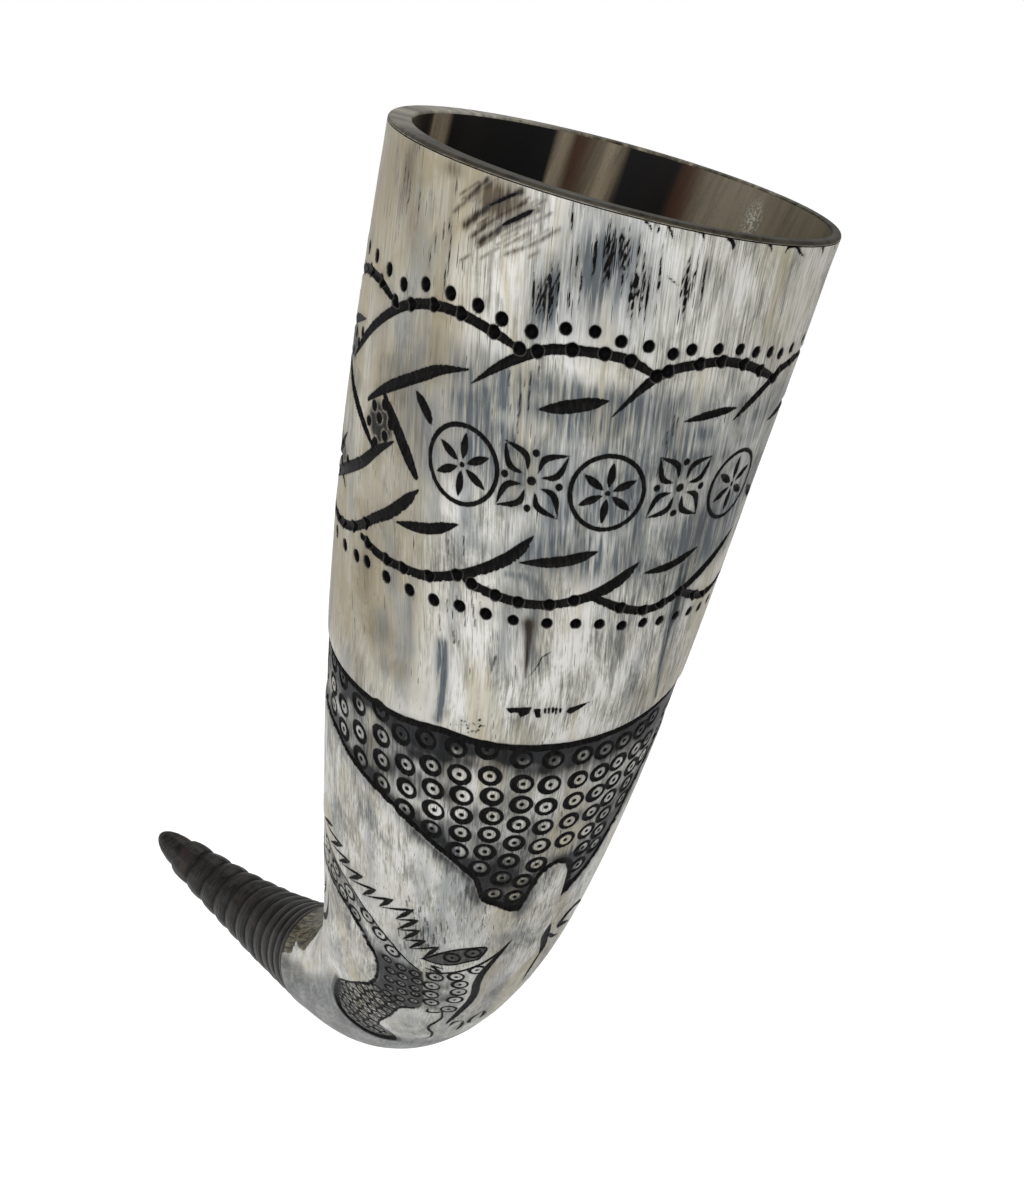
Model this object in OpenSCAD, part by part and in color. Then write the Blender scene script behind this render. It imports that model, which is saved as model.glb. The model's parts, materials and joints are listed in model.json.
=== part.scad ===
// Drinking horn: a hollow, curved, tapering horn with a dark ringed tip.
// The rim lies in the XY plane, centred on the origin, with +Z out of the mouth.
// The centreline leaves the mouth downwards, bends towards +X and swings round as it goes.

/* [Mouth] */
// Outer diameter of the rim
mouth_d = 80; // [72:1:88]
// Mean wall thickness at the rim
rim_wall = 2.8; // [2.4:0.1:3.6]
// How far the hollow sits off the horn's centre at the rim, which makes the wall uneven
hollow_shift = 1.2; // [0:0.1:1.4]
// Direction of the thin side of the wall, round the mouth from the X axis
thin_side = 65; // [0:5:355]

/* [Horn] */
// Length of the shell along its centreline, from the rim to the seat of the tip
shell_l = 300; // [290:1:315]
// Diameter that the upper part of the horn is drawn to
upper_d = 73.5; // [70:0.5:79]
// Diameter that the lower part of the horn is drawn to
lower_d = 41; // [36:0.5:46]
// Depth of the hollow along the centreline
hollow_l = 250; // [225:1:256]
// Wall thickness at the foot of the hollow
deep_wall = 5.5; // [4:0.1:7]
// Length of the rounded foot of the hollow
hollow_nose = 32; // [22:1:40]

/* [Bend] */
// Steady part of the bend, in degrees over the whole horn
mouth_bend = 50; // [35:0.5:70]
// Part of the bend that gathers towards the tip, in degrees
tip_bend = 55.5; // [30:0.5:70]
// Steady part of the sideways swing, in degrees over the whole horn
mouth_swing = 18; // [0:1:40]
// Part of the swing that gathers towards the tip, in degrees
tip_swing = 70; // [40:1:80]

/* [Carving] */
// Depth of the carved lines
line_depth = 0.7; // [0.4:0.1:0.8]
// Width of the carved lines
line_w = 1.7; // [1.2:0.1:2]
// Number of lobes of the plait round the horn
lobes = 10; // [8:1:12]
// Distance from the rim to the top of the plait
plait_top = 20; // [17:0.5:24]
// Length of the plait along the horn
plait_l = 46; // [42:0.5:50]
// How far the edge lines of the plait wave along the horn
plait_wave = 6; // [3:0.5:8]
// Distance from the rim to the top of the collar of stamped rings, on average
collar_top = 93; // [90:0.5:98]
// How far the top of the collar slants either way
collar_slant = 3; // [0:0.5:4]
// Length of the collar down to its longest tongue
collar_l = 47; // [40:0.5:50]
// Depth of the collar's ground
collar_depth = 0.5; // [0.3:0.1:0.6]

/* [Ringed tip] */
// Length of the tip along its centreline
tip_l = 92; // [86:1:100]
// Diameter that the tip is drawn to at its end
tip_d = 10.5; // [8:0.5:12]
// Number of rings carved round the tip
ring_count = 12; // [8:1:14]
// Length of the ring next to the shell; the others grow evenly from it
root_ring_l = 5; // [3:0.5:5.5]
// Depth of the creases between the rings
ring_depth = 1.1; // [0.5:0.1:1.4]
// Length of the blunt plain end beyond the last ring
tip_nose = 11; // [9:0.5:14]

/* [Inner pieces] */
// Thickness of the clear coat inside the hollow
lining_t = 0.3; // [0.25:0.05:0.6]
// Diameter of the peg between shell and tip
peg_d = 9; // [7:0.5:10]
// How deep the peg sits in the shell
peg_in_shell = 18; // [12:1:22]
// How deep the peg sits in the tip
peg_in_tip = 20; // [12:1:22]

/* [Hidden] */
horn_l = shell_l + tip_l;
steps = 120;
step_l = horn_l / steps;
sides = 40;
tip_sides = 24;
lower_rows = 15;
plait_turn = 27;
slant_turn = 70;
hollow_rows = 22;
nose_rows = 5;
overrun = 2;
peg_chamfer = 0.8;
peg_clearance = 0.05;
bore_turn = 180 / sides;
// Places within one ring, from crease to crease
bead_shares = [0, 0.12, 0.35, 0.62, 0.88];
// Foot of the collar: direction round the horn in degrees, and share of the collar's length there
collar_foot_shares = [
  [0, 0.29], [60, 0.24], [80, 0.22], [90, 0.25], [99, 0.4], [108, 0.66], [117, 0.88], [126, 1],
  [135, 0.73], [144, 1], [153, 0.97], [162, 0.88], [171, 0.7], [180, 0.62], [198, 0.5], [216, 0.45],
  [240, 0.42], [265, 0.45], [300, 0.4], [340, 0.32], [360, 0.29]
];

// Bend and swing of the centreline at a share of the horn's length
function bend_at(u) = mouth_bend * u + tip_bend * u * u * u;
function swing_at(u) = mouth_swing * u + tip_swing * u * u;

// Unit directions: along the horn, towards the inside of the bend, and across both
function heading(u) = [
  sin(bend_at(u)) * cos(swing_at(u)),
  sin(bend_at(u)) * sin(swing_at(u)),
  -cos(bend_at(u))
];
function inward(u) = [
  cos(bend_at(u)) * cos(swing_at(u)),
  cos(bend_at(u)) * sin(swing_at(u)),
  sin(bend_at(u))
];
function across(u) = cross(heading(u), inward(u));

// The centreline, summed step by step from the mouth
spine = [
  for (i = 0, p = [0, 0, 0]; i <= steps; p = p + step_l * heading((i + 0.5) / steps), i = i + 1) p
];
function spine_at(s) =
  let (i = min(floor(s / step_l), steps - 1))
  spine[i] + (s - i * step_l) * heading((i + 0.5) / steps);

// Outer radius of the horn without its rings
function taper_r(u) =
  (pow(1 - u, 3) * mouth_d + 3 * pow(1 - u, 2) * u * upper_d
    + 3 * (1 - u) * u * u * lower_d + pow(u, 3) * tip_d) / 2;

// Radius and sideways shift of the hollow
function wall_at(s) = rim_wall + (deep_wall - rim_wall) * s / hollow_l;
function hollow_r(s) = taper_r(s / horn_l) - wall_at(s);
function hollow_centre(s) =
  let (u = s / horn_l, shift = hollow_shift * (1 - s / hollow_l))
  spine_at(s) + shift * (cos(thin_side) * inward(u) + sin(thin_side) * across(u));

// One ring of points round a centre, square to the centreline at s
function ring_points(centre, s, r, n) = [
  for (j = [0 : n - 1])
    centre + r * (cos(360 * j / n) * inward(s / horn_l) + sin(360 * j / n) * across(s / horn_l))
];

function reversed(list) = [for (i = [len(list) - 1 : -1 : 0]) list[i]];

// Closed skin from a point, over rows of points, to a last point.
// Rows that start on the inside of the piece have their faces turned over.
module closed_skin(first, rows, last, from_inside = false) {
  n = len(rows[0]);
  m = len(rows);
  points = concat([first], [for (row = rows) each row], [last]);
  faces = concat(
    [for (j = [0 : n - 1]) [0, 1 + j, 1 + (j + 1) % n]],
    [for (i = [0 : m - 2], j = [0 : n - 1]) [1 + i * n + j, 1 + (i + 1) * n + j, 1 + i * n + (j + 1) % n]],
    [for (i = [0 : m - 2], j = [0 : n - 1])
      [1 + i * n + (j + 1) % n, 1 + (i + 1) * n + j, 1 + (i + 1) * n + (j + 1) % n]],
    [for (j = [0 : n - 1]) [1 + (m - 1) * n + j, 1 + m * n, 1 + (m - 1) * n + (j + 1) % n]]
  );
  turned = from_inside ? [for (f = faces) reversed(f)] : faces;
  polyhedron(points = points, faces = turned, convexity = 6);
}

// Rows of the hollow, from the rim to its rounded foot, drawn in by a coat of thickness t
nose_start = hollow_l - hollow_nose;
function hollow_side_rows(t) = [
  for (i = [0 : hollow_rows])
    let (s = nose_start * i / hollow_rows)
    ring_points(hollow_centre(s), s, hollow_r(s) - t, sides)
];
function hollow_nose_rows(t) = [
  for (i = [1 : nose_rows - 1])
    let (a = 90 * i / nose_rows, s = nose_start + (hollow_nose - t) * sin(a))
    ring_points(hollow_centre(s), s, (hollow_r(s) - t) * cos(a), sides)
];
function hollow_surface(t) = concat(hollow_side_rows(t), hollow_nose_rows(t));

// Places children on the centreline at s, with their +Z back towards the mouth
module at_station(s) {
  u = s / horn_l;
  translate(spine_at(s))
    rotate([0, -bend_at(u), swing_at(u)])
      children();
}

// Bore for the peg, turned so that its seam falls inside a facet of the seat and not on an edge
module peg_bore(depth_below, depth_above) {
  at_station(shell_l)
    rotate([0, 0, bore_turn])
      translate([0, 0, -depth_below])
        cylinder(d = peg_d + 2 * peg_clearance, h = depth_below + depth_above, $fn = 48);
}

// Stations of a row of the outside, one for each side of the horn
function turn_of(j) = 360 * j / sides;
function level(s) = [for (j = [0 : sides - 1]) s];
function moved(row, by) = [for (s = row) s + by];
function between(row_a, row_b, share) = [
  for (j = [0 : sides - 1]) row_a[j] + share * (row_b[j] - row_a[j])
];

// Carved edge lines of the plait, and the head and foot of the collar
function lobe_at(j) = 1 - abs(sin(lobes * (turn_of(j) - plait_turn) / 2));
upper_line = [for (j = [0 : sides - 1]) plait_top + plait_wave * lobe_at(j)];
lower_line = [for (j = [0 : sides - 1]) plait_top + plait_l - plait_wave * lobe_at(j)];
collar_head = [for (j = [0 : sides - 1]) collar_top - collar_slant * cos(turn_of(j) - slant_turn)];
collar_foot = [for (j = [0 : sides - 1]) collar_top + collar_l * lookup(turn_of(j), collar_foot_shares)];

// One row of the outside, cut in by a drop
function skin_points(stations, drop) = [
  for (j = [0 : sides - 1])
    let (s = stations[j], u = s / horn_l, r = taper_r(u) - drop)
    spine_at(s) + r * (cos(turn_of(j)) * inward(u) + sin(turn_of(j)) * across(u))
];
function line_rows(row) = [
  skin_points(moved(row, -line_w / 2), 0),
  skin_points(row, line_depth),
  skin_points(moved(row, line_w / 2), 0)
];
collar_end = level(collar_top + collar_l + collar_slant + line_w);
function collar_rows() = [
  skin_points(moved(collar_head, -line_w / 2), 0),
  skin_points(collar_head, line_depth),
  skin_points(moved(collar_head, line_w / 2), collar_depth),
  skin_points(between(collar_head, collar_foot, 1 / 2), collar_depth),
  skin_points(moved(collar_foot, -line_w / 2), collar_depth),
  skin_points(collar_foot, line_depth),
  skin_points(moved(collar_foot, line_w / 2), 0),
  skin_points(between(collar_foot, collar_end, 1 / 2), 0)
];
function lower_skin_rows() = [
  for (i = [0 : lower_rows]) skin_points(between(collar_end, level(shell_l), i / lower_rows), 0)
];
function outside_rows() = concat(
  [skin_points(level(0), 0), skin_points(level(plait_top / 2), 0)],
  line_rows(upper_line),
  [skin_points(level(plait_top + plait_l / 2), 0)],
  line_rows(lower_line),
  [skin_points(level((plait_top + plait_l + collar_top) / 2), 0)],
  collar_rows(),
  lower_skin_rows()
);

// Hollow horn with a flat rim, the main carved lines and a solid lower end, drilled for the peg
module horn_shell() {
  outside = reversed(outside_rows());
  color("gainsboro")
    difference() {
      closed_skin(spine_at(shell_l), concat(outside, hollow_surface(0)), hollow_centre(hollow_l));
      peg_bore(overrun, peg_in_shell);
    }
}

// Solid tip with rounded rings, each a bead between two creases and a little longer than the last
rings_l = tip_l - tip_nose;
ring_growth = 2 * (rings_l - ring_count * root_ring_l) / (ring_count * (ring_count - 1));
function ring_l(i) = root_ring_l + i * ring_growth;
function crease_at(i) = shell_l + i * root_ring_l + ring_growth * i * (i - 1) / 2;
function bead_drop(share) = ring_depth * (1 - sqrt(1 - pow(2 * share - 1, 2)));
module ringed_tip() {
  beads = [
    for (i = [0 : ring_count - 1], share = bead_shares)
      let (s = crease_at(i) + share * ring_l(i))
      ring_points(spine_at(s), s, taper_r(s / horn_l) - bead_drop(share), tip_sides)
  ];
  nose_base = horn_l - tip_nose;
  nose = [
    for (a = [0 : 18 : 72])
      let (s = nose_base + tip_nose * sin(a))
      ring_points(spine_at(s), s, (taper_r(s / horn_l) - ring_depth * (1 - sin(a))) * cos(a), tip_sides)
  ];
  color([0.13, 0.11, 0.1])
    difference() {
      closed_skin(spine_at(shell_l), concat(beads, nose), spine_at(horn_l));
      peg_bore(peg_in_tip, overrun);
    }
}

// Round wooden peg, glued in both halves, chamfered at both ends
module tip_peg() {
  color("burlywood")
    at_station(shell_l)
      translate([0, 0, -peg_in_tip])
        rotate_extrude($fn = 48)
          polygon([
            [0, 0],
            [peg_d / 2 - peg_chamfer, 0],
            [peg_d / 2, peg_chamfer],
            [peg_d / 2, peg_in_tip + peg_in_shell - peg_chamfer],
            [peg_d / 2 - peg_chamfer, peg_in_tip + peg_in_shell],
            [0, peg_in_tip + peg_in_shell]
          ]);
}

// Clear coat on the wall of the hollow, facet to facet with the shell
module bowl_lining() {
  color([0.25, 0.2, 0.16])
    closed_skin(
      hollow_centre(hollow_l - lining_t),
      concat(reversed(hollow_surface(lining_t)), hollow_surface(0)),
      hollow_centre(hollow_l),
      from_inside = true
    );
}

horn_shell();
ringed_tip();
tip_peg();
bowl_lining();
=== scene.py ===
import json
import math

import bpy
import numpy as np
from mathutils import Matrix, Vector

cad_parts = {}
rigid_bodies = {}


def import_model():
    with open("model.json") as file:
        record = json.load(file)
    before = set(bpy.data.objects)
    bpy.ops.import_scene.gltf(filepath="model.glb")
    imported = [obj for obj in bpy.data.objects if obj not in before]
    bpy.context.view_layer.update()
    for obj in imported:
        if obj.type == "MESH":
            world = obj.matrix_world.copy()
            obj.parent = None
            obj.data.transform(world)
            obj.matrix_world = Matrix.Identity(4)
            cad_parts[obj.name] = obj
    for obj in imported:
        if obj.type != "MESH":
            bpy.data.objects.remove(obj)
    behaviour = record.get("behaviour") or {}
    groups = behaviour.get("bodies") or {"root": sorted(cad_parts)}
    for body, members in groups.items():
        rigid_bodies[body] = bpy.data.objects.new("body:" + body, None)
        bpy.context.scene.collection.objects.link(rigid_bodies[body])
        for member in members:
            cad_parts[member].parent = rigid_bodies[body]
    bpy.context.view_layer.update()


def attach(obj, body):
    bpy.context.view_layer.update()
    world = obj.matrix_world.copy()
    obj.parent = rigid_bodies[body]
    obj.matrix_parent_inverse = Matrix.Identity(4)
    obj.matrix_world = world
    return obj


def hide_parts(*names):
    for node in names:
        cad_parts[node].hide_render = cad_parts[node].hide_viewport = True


bl_info = {
    "name": "Carved drinking horn",
    "version": (1, 0, 0),
    "blender": (4, 5, 0),
    "location": "View3D > Sidebar > Horn",
    "description": "Carved and stained drinking horn with a glossy hollow and a dark ringed tip",
    "category": "Add Mesh",
}

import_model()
MM = 0.001

# Sizes of the horn in millimetres and degrees, the same as its solids
MOUTH_D, UPPER_D, LOWER_D, TIP_D = 80, 73.5, 41, 10.5
SHELL_L, TIP_L, HOLLOW_L, HOLLOW_NOSE = 300, 92, 250, 32
RIM_WALL, DEEP_WALL, HOLLOW_SHIFT, THIN_SIDE = 2.8, 5.5, 1.2, 65
MOUTH_BEND, TIP_BEND, MOUTH_SWING, TIP_SWING = 50, 55.5, 18, 70
RING_COUNT, ROOT_RING_L, RING_DEPTH, TIP_NOSE = 12, 5, 1.1, 11
HORN_L = SHELL_L + TIP_L
SPINE_STEPS = 120
# How far the modelled skin lies inside the solid, so that it never leaves the solid's box
SKIN_INSET = 0.12

# Rows of the outer skin: name of the piece, first and last station, and row spacing, in millimetres
SKIN_BANDS = [
    ("horn_lip", 0.7, 16.5, 0.35),
    ("horn_plait_upper", 16.5, 43, 0.27),
    ("horn_plait_lower", 43, 72, 0.29),
    ("horn_waist", 72, 88, 0.35),
    ("horn_scales_upper", 88, 114, 0.26),
    ("horn_scales_lower", 114, 142, 0.28),
    ("horn_beast_upper", 142, 170, 0.28),
    ("horn_beast_middle", 170, 198, 0.28),
    ("horn_beast_lower", 198, 227, 0.29),
    ("horn_bend", 227, SHELL_L, 0.8),
]
# Columns round the outer skin, the lining and the tip
COLUMNS, LINING_COLUMNS, TIP_COLUMNS = 940, 240, 260
COLUMN_STEP = 360 / COLUMNS
# Margin of each UV map, as a share of the map
UV_MARGIN = 0.002


def smooth(low, high, x):
    """An eased step from 0 at low to 1 at high."""
    t = np.clip((x - low) / (high - low), 0, 1)
    return t * t * (3 - 2 * t)


def directions(s):
    """Unit vectors at station s: along the horn, towards the inside of the bend, and across both."""
    u = np.asarray(s, float) / HORN_L
    bend = np.radians(MOUTH_BEND * u + TIP_BEND * u**3)
    swing = np.radians(MOUTH_SWING * u + TIP_SWING * u**2)
    along = np.stack([np.sin(bend) * np.cos(swing), np.sin(bend) * np.sin(swing), -np.cos(bend)], -1)
    inward = np.stack([np.cos(bend) * np.cos(swing), np.cos(bend) * np.sin(swing), np.sin(bend)], -1)
    return along, inward, np.cross(along, inward)


def make_spine():
    """The centreline in millimetres, stepped along its own directions from the centre of the mouth."""
    step = HORN_L / SPINE_STEPS
    middle = (np.arange(SPINE_STEPS) + 0.5) * step
    return np.vstack([np.zeros(3), np.cumsum(step * directions(middle)[0], axis=0)])


SPINE = make_spine()


def spine_at(s):
    """Points of the centreline at station s."""
    place = np.asarray(s, float) / HORN_L * SPINE_STEPS
    return np.stack([np.interp(place, np.arange(SPINE_STEPS + 1), SPINE[:, k]) for k in range(3)], -1)


def outer_radius(s):
    """Radius of the horn's outside at station s, a smooth taper through its four diameters."""
    u = np.asarray(s, float) / HORN_L
    v = 1 - u
    return (v**3 * MOUTH_D + 3 * v * v * u * UPPER_D + 3 * v * u * u * LOWER_D + u**3 * TIP_D) / 2


def hollow_radius(s):
    """Radius of the hollow at station s, which leaves a wall that thickens downwards."""
    return outer_radius(s) - (RIM_WALL + (DEEP_WALL - RIM_WALL) * np.asarray(s, float) / HOLLOW_L)


def hollow_centre(s):
    """Centre of the hollow at station s: to one side of the horn's, so that the wall is uneven."""
    _, inward, across = directions(s)
    shift = (HOLLOW_SHIFT * (1 - np.asarray(s, float) / HOLLOW_L))[..., None]
    turn = math.radians(THIN_SIDE)
    return spine_at(s) + shift * (math.cos(turn) * inward + math.sin(turn) * across)


def outward(s, turns):
    """Unit vectors away from the centreline: one row for each station, one column for each turn."""
    _, inward, across = directions(s)
    angle = np.radians(turns)
    return np.cos(angle)[None, :, None] * inward[:, None] + np.sin(angle)[None, :, None] * across[:, None]


def round_points(centre, s, radius, turns):
    """Points in millimetres: one row for each station, one column for each turn round the horn."""
    return centre[:, None] + radius[:, None, None] * outward(s, turns)


def grid_normals(points):
    """Outward normals of a grid that is closed round its columns."""
    across = np.roll(points, -1, 1) - np.roll(points, 1, 1)
    along = np.gradient(points, axis=0)
    normals = np.cross(along, across)
    return normals / np.maximum(np.linalg.norm(normals, axis=-1, keepdims=True), 1e-9)


def grid_mesh(name, points, normals=None, attributes=None, flip=False, cap_end=False):
    """A mesh from a grid of points in millimetres, closed round its columns, with its own smooth normals."""
    rows, columns = points.shape[:2]
    verts = points.reshape(-1, 3) * MM
    i, j = np.meshgrid(np.arange(rows - 1), np.arange(columns), indexing="ij")
    k = (j + 1) % columns
    quads = np.stack([i * columns + j, (i + 1) * columns + j, (i + 1) * columns + k, i * columns + k], -1)
    if flip:
        quads = quads[..., ::-1]
    quads = quads.reshape(-1, 4)
    fan = np.zeros((0, 3), int)
    if cap_end:
        ring = np.arange(columns) + (rows - 1) * columns
        fan = np.stack([np.full(columns, len(verts)), ring, np.roll(ring, -1)], -1)
        if not flip:
            fan = fan[:, ::-1]
        verts = np.vstack([verts, points[-1].mean(0)[None] * MM])
    extra = len(verts) - rows * columns
    mesh = bpy.data.meshes.new(name)
    mesh.vertices.add(len(verts))
    mesh.vertices.foreach_set("co", verts.astype(np.float32).ravel())
    corners = np.concatenate([quads.ravel(), fan.ravel()])
    starts = np.concatenate([np.arange(len(quads)) * 4, len(quads) * 4 + np.arange(len(fan)) * 3])
    mesh.loops.add(len(corners))
    mesh.loops.foreach_set("vertex_index", corners.astype(np.int32))
    mesh.polygons.add(len(starts))
    mesh.polygons.foreach_set("loop_start", starts.astype(np.int32))
    mesh.update(calc_edges=True)
    mesh.validate()
    add_uv(mesh, rows, columns, corners, quads, j)
    for key, values in (attributes or {}).items():
        flat = values.reshape(rows * columns, -1)
        kind = "FLOAT" if flat.shape[1] == 1 else "FLOAT_VECTOR"
        filled = np.vstack([flat] + [flat[:1]] * extra)
        data = mesh.attributes.new(key, kind, "POINT").data
        data.foreach_set("value" if kind == "FLOAT" else "vector", filled.astype(np.float32).ravel())
    mesh.polygons.foreach_set("use_smooth", np.ones(len(starts), bool))
    if normals is not None:
        given = np.vstack([normals.reshape(-1, 3), np.zeros((extra, 3))])
        mesh.normals_split_custom_set_from_vertices(given.astype(np.float32))
    return mesh


def add_uv(mesh, rows, columns, corners, quads, column_of_quad):
    """The grid laid flat as a UV map named OFBake, with a small margin all round."""
    layer = mesh.uv_layers.new(name="OFBake")
    row_of, column_of = corners // columns, corners % columns
    wraps = np.zeros(len(corners))
    last_column = column_of_quad.reshape(-1, 1) == columns - 1
    wraps[: len(quads) * 4].reshape(-1, 4)[:] = (quads % columns == 0) & last_column
    u = (column_of + columns * wraps) / columns
    v = np.minimum(row_of / max(rows - 1, 1), 1)
    uv = UV_MARGIN + (1 - 2 * UV_MARGIN) * np.stack([u, v], -1)
    layer.uv.foreach_set("vector", uv.astype(np.float32).ravel())


def add_piece(name, mesh, replaces, material):
    """Puts a mesh in the scene with its material, hangs it on the root body and hides the CAD node that it
    stands in for.
    """
    mesh.materials.append(material)
    piece = bpy.data.objects.new(name, mesh)
    bpy.context.scene.collection.objects.link(piece)
    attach(piece, "root")
    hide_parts(replaces)
    return piece


def line_gap(x, y, radius, a, b):
    """For places on a patch: share of the way from a to b, distance to that line, its start and legs."""
    ax, bx = math.radians(a[0]) * radius, math.radians(b[0]) * radius
    dx, dy = bx - ax, b[1] - a[1]
    t = np.clip(((x - ax) * dx + (y - a[1]) * dy) / max(dx * dx + dy * dy, 1e-9), 0, 1)
    return t, np.hypot(x - ax - t * dx, y - a[1] - t * dy), ax, dx, dy


class Skin:
    """The outer skin unrolled: turns round the horn by stations along it, with its carving and its paint."""

    # How far from a cut its distance is kept, in millimetres
    reach = 2.5

    def __init__(self):
        rows = [np.arange(start, end, step) for _, start, end, step in SKIN_BANDS]
        edges = [band[1] for band in SKIN_BANDS] + [SKIN_BANDS[-1][2]]
        self.s = np.unique(np.round(np.concatenate(rows + [np.array(edges)]), 4))
        keep = np.ones(len(self.s), bool)
        keep[1:] = (np.diff(self.s) > 0.1) | np.isin(self.s[1:], edges)
        self.s = self.s[keep]
        self.turns = np.arange(COLUMNS) * 360 / COLUMNS
        self.radius = outer_radius(self.s) - SKIN_INSET
        shape = (len(self.s), COLUMNS)
        # Distances in millimetres, negative inside: to cuts, drilled pits, the collar and the beast's body
        self.cut, self.pit = np.full(shape, 3.0), np.full(shape, 3.0)
        self.field, self.wing = np.full(shape, 6.0), np.full(shape, 4.0)
        # Shares of stain and of wear, 0 to 1, and the untouched middles of the stamps; the blue and the dark
        # layers also hold painted shade on the underside of the bend
        self.brown, self.blue, self.soot_and_shade = np.zeros(shape), np.zeros(shape), np.zeros(shape)
        self.splinter, self.warm, self.khaki = np.zeros(shape), np.zeros(shape), np.zeros(shape)
        self.clean = np.zeros(shape)
        self.wobble = 0.05 * wavy_field(self.s, self.radius, 1.1, 7)
        self.wobble += 0.03 * wavy_field(self.s, self.radius, 0.5, 8)

    def window(self, turns, stations, reach):
        """Rows, wrapped columns and places of a patch round some points, with a margin in millimetres."""
        first = np.searchsorted(self.s, min(stations) - reach)
        last = np.searchsorted(self.s, max(stations) + reach)
        rows = slice(max(first, 0), max(last, first + 1))
        middle = float(np.clip(np.mean(stations), 0, SHELL_L))
        radius = float(outer_radius(middle))
        spread = math.degrees(reach / radius)
        start = math.floor((min(turns) - spread) / COLUMN_STEP)
        places = np.arange(start, math.ceil((max(turns) + spread) / COLUMN_STEP) + 1)
        x = np.radians(places * COLUMN_STEP) * radius
        return rows, places % COLUMNS, x[None, :], self.s[rows][:, None], radius

    def block(self, rows, columns, values):
        """Index of a patch in a layer of the whole skin."""
        return np.ix_(np.arange(rows.start, rows.start + values.shape[0]), columns)

    def lower(self, layer, rows, columns, values):
        """Keeps the smaller of a layer and new values on a patch, which may go more than once round."""
        for start in range(0, len(columns), COLUMNS):
            block = self.block(rows, columns[start:start + COLUMNS], values)
            layer[block] = np.minimum(layer[block], values[:, start:start + COLUMNS])

    def raise_to(self, layer, rows, columns, values):
        """Keeps the greater of a layer and new values on a patch."""
        block = self.block(rows, columns, values)
        layer[block] = np.maximum(layer[block], values)

    def at(self, turn, s):
        """Row and column of a place."""
        return int(np.searchsorted(self.s, s)), int(round(turn % 360 / 360 * COLUMNS)) % COLUMNS

    def groove(self, points, widths, saw=0):
        """A cut along points (turn, station), with the width at each; saw makes one side ragged."""
        run = 0
        for a, b, wide_a, wide_b in zip(points, points[1:], widths, widths[1:]):
            rows, columns, x, y, radius = self.window((a[0], b[0]), (a[1], b[1]), self.reach)
            t, gap, ax, dx, dy = line_gap(x, y, radius, a, b)
            gap = gap - (wide_a + t * (wide_b - wide_a)) / 2
            if saw:
                length = max(math.hypot(dx, dy), 1e-6)
                place = run + t * length
                side = ((x - ax) * dy - (y - a[1]) * dx) / length * math.copysign(1, saw)
                teeth = 0.5 + 0.5 * np.sin(11 * place + 3 * np.sin(2.7 * place))
                teeth = teeth * (0.4 + 0.6 * np.sin(0.9 * place) ** 2)
                gap = gap + abs(saw) * smooth(-0.1, 0.4, side) * teeth
                run += length
            self.lower(self.cut, rows, columns, gap)

    def gouge(self, points, width, start, end, lead, tail, saw=0):
        """A smooth tapered cut through points."""
        line = curve_through(points)
        self.groove(line, tapered(len(line), width, start, end, lead, tail), saw)

    def dot(self, turn, s, width, drilled=False):
        """A round hole, deeper where it is drilled."""
        rows, columns, x, y, radius = self.window((turn,), (s,), width + 1)
        gap = np.hypot(x - math.radians(turn) * radius, y - s) - width / 2
        self.lower(self.cut, rows, columns, gap)
        if drilled:
            self.lower(self.pit, rows, columns, gap)

    def stroke(self, layer, points, width, amount):
        """A soft painted line through points, with one half width in millimetres or those of its two ends."""
        start, end = width if isinstance(width, tuple) else (width, width)
        halves = np.linspace(start, end, len(points))
        for a, b, half_a, half_b in zip(points, points[1:], halves, halves[1:]):
            rows, columns, x, y, radius = self.window((a[0], b[0]), (a[1], b[1]), 2 * max(start, end))
            t, gap, _, _, _ = line_gap(x, y, radius, a, b)
            gap = gap / (half_a + t * (half_b - half_a))
            self.raise_to(layer, rows, columns, amount * np.exp(-(gap**2)))

    def fill(self, outline):
        """Cuts out the whole inside of a closed outline."""
        rows, columns, gap = signed_gap(self, outline + outline[:1], 2)
        self.lower(self.cut, rows, columns, gap)

    def patch(self, layer, turn, s, wide, long, amount, lean=0):
        """A soft oval spot of paint or stain, wide round the horn and long along it."""
        rows, columns, x, y, radius = self.window((turn,), (s,), 2.2 * max(wide, long))
        dx, dy = x - math.radians(turn) * radius, y - s
        slope = math.radians(lean)
        p, q = dx * math.cos(slope) + dy * math.sin(slope), dy * math.cos(slope) - dx * math.sin(slope)
        self.raise_to(layer, rows, columns, amount * np.exp(-((p / wide) ** 2 + (q / long) ** 2)))

    def stain(self, layer, amount):
        """Stains a layer over the whole skin, where that is more than it has."""
        layer[:] = np.maximum(layer, amount)


def noise_table(rng, y, x, down, across):
    """Smooth seeded noise, about -1 to 1, at y cells down and x cells across a table that closes sideways."""
    table = rng.standard_normal((down, across)) * 0.6
    i, j = np.floor(y).astype(int), np.floor(x).astype(int)
    fy, fx = smooth(0, 1, y - i)[:, None], smooth(0, 1, x - j)[None, :]
    i1, j1 = np.minimum(i + 1, down - 1), (j + 1) % across
    low = table[i][:, j] * (1 - fx) + table[i][:, j1] * fx
    high = table[i1][:, j] * (1 - fx) + table[i1][:, j1] * fx
    return low * (1 - fy) + high * fy


def wavy_field(s, radius, grain, seed):
    """Smooth noise over the unrolled skin, with bumps of one size in millimetres."""
    across = max(int(2 * math.pi * float(np.mean(radius)) / grain), 4)
    down = max(int((s[-1] - s[0]) / grain), 2) + 3
    places = np.arange(COLUMNS) * across / COLUMNS
    return noise_table(np.random.default_rng(seed), (s - s[0]) / grain, places, down, across)


def wavy_cells(rows, columns, cells, seed):
    """Smooth noise on a grid of any size, with so many bumps along it and twice as many round it."""
    across = cells * 2
    y, x = np.linspace(0, cells - 0.001, rows), np.arange(columns) * across / columns
    return noise_table(np.random.default_rng(seed), y, x, cells + 2, across)


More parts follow.
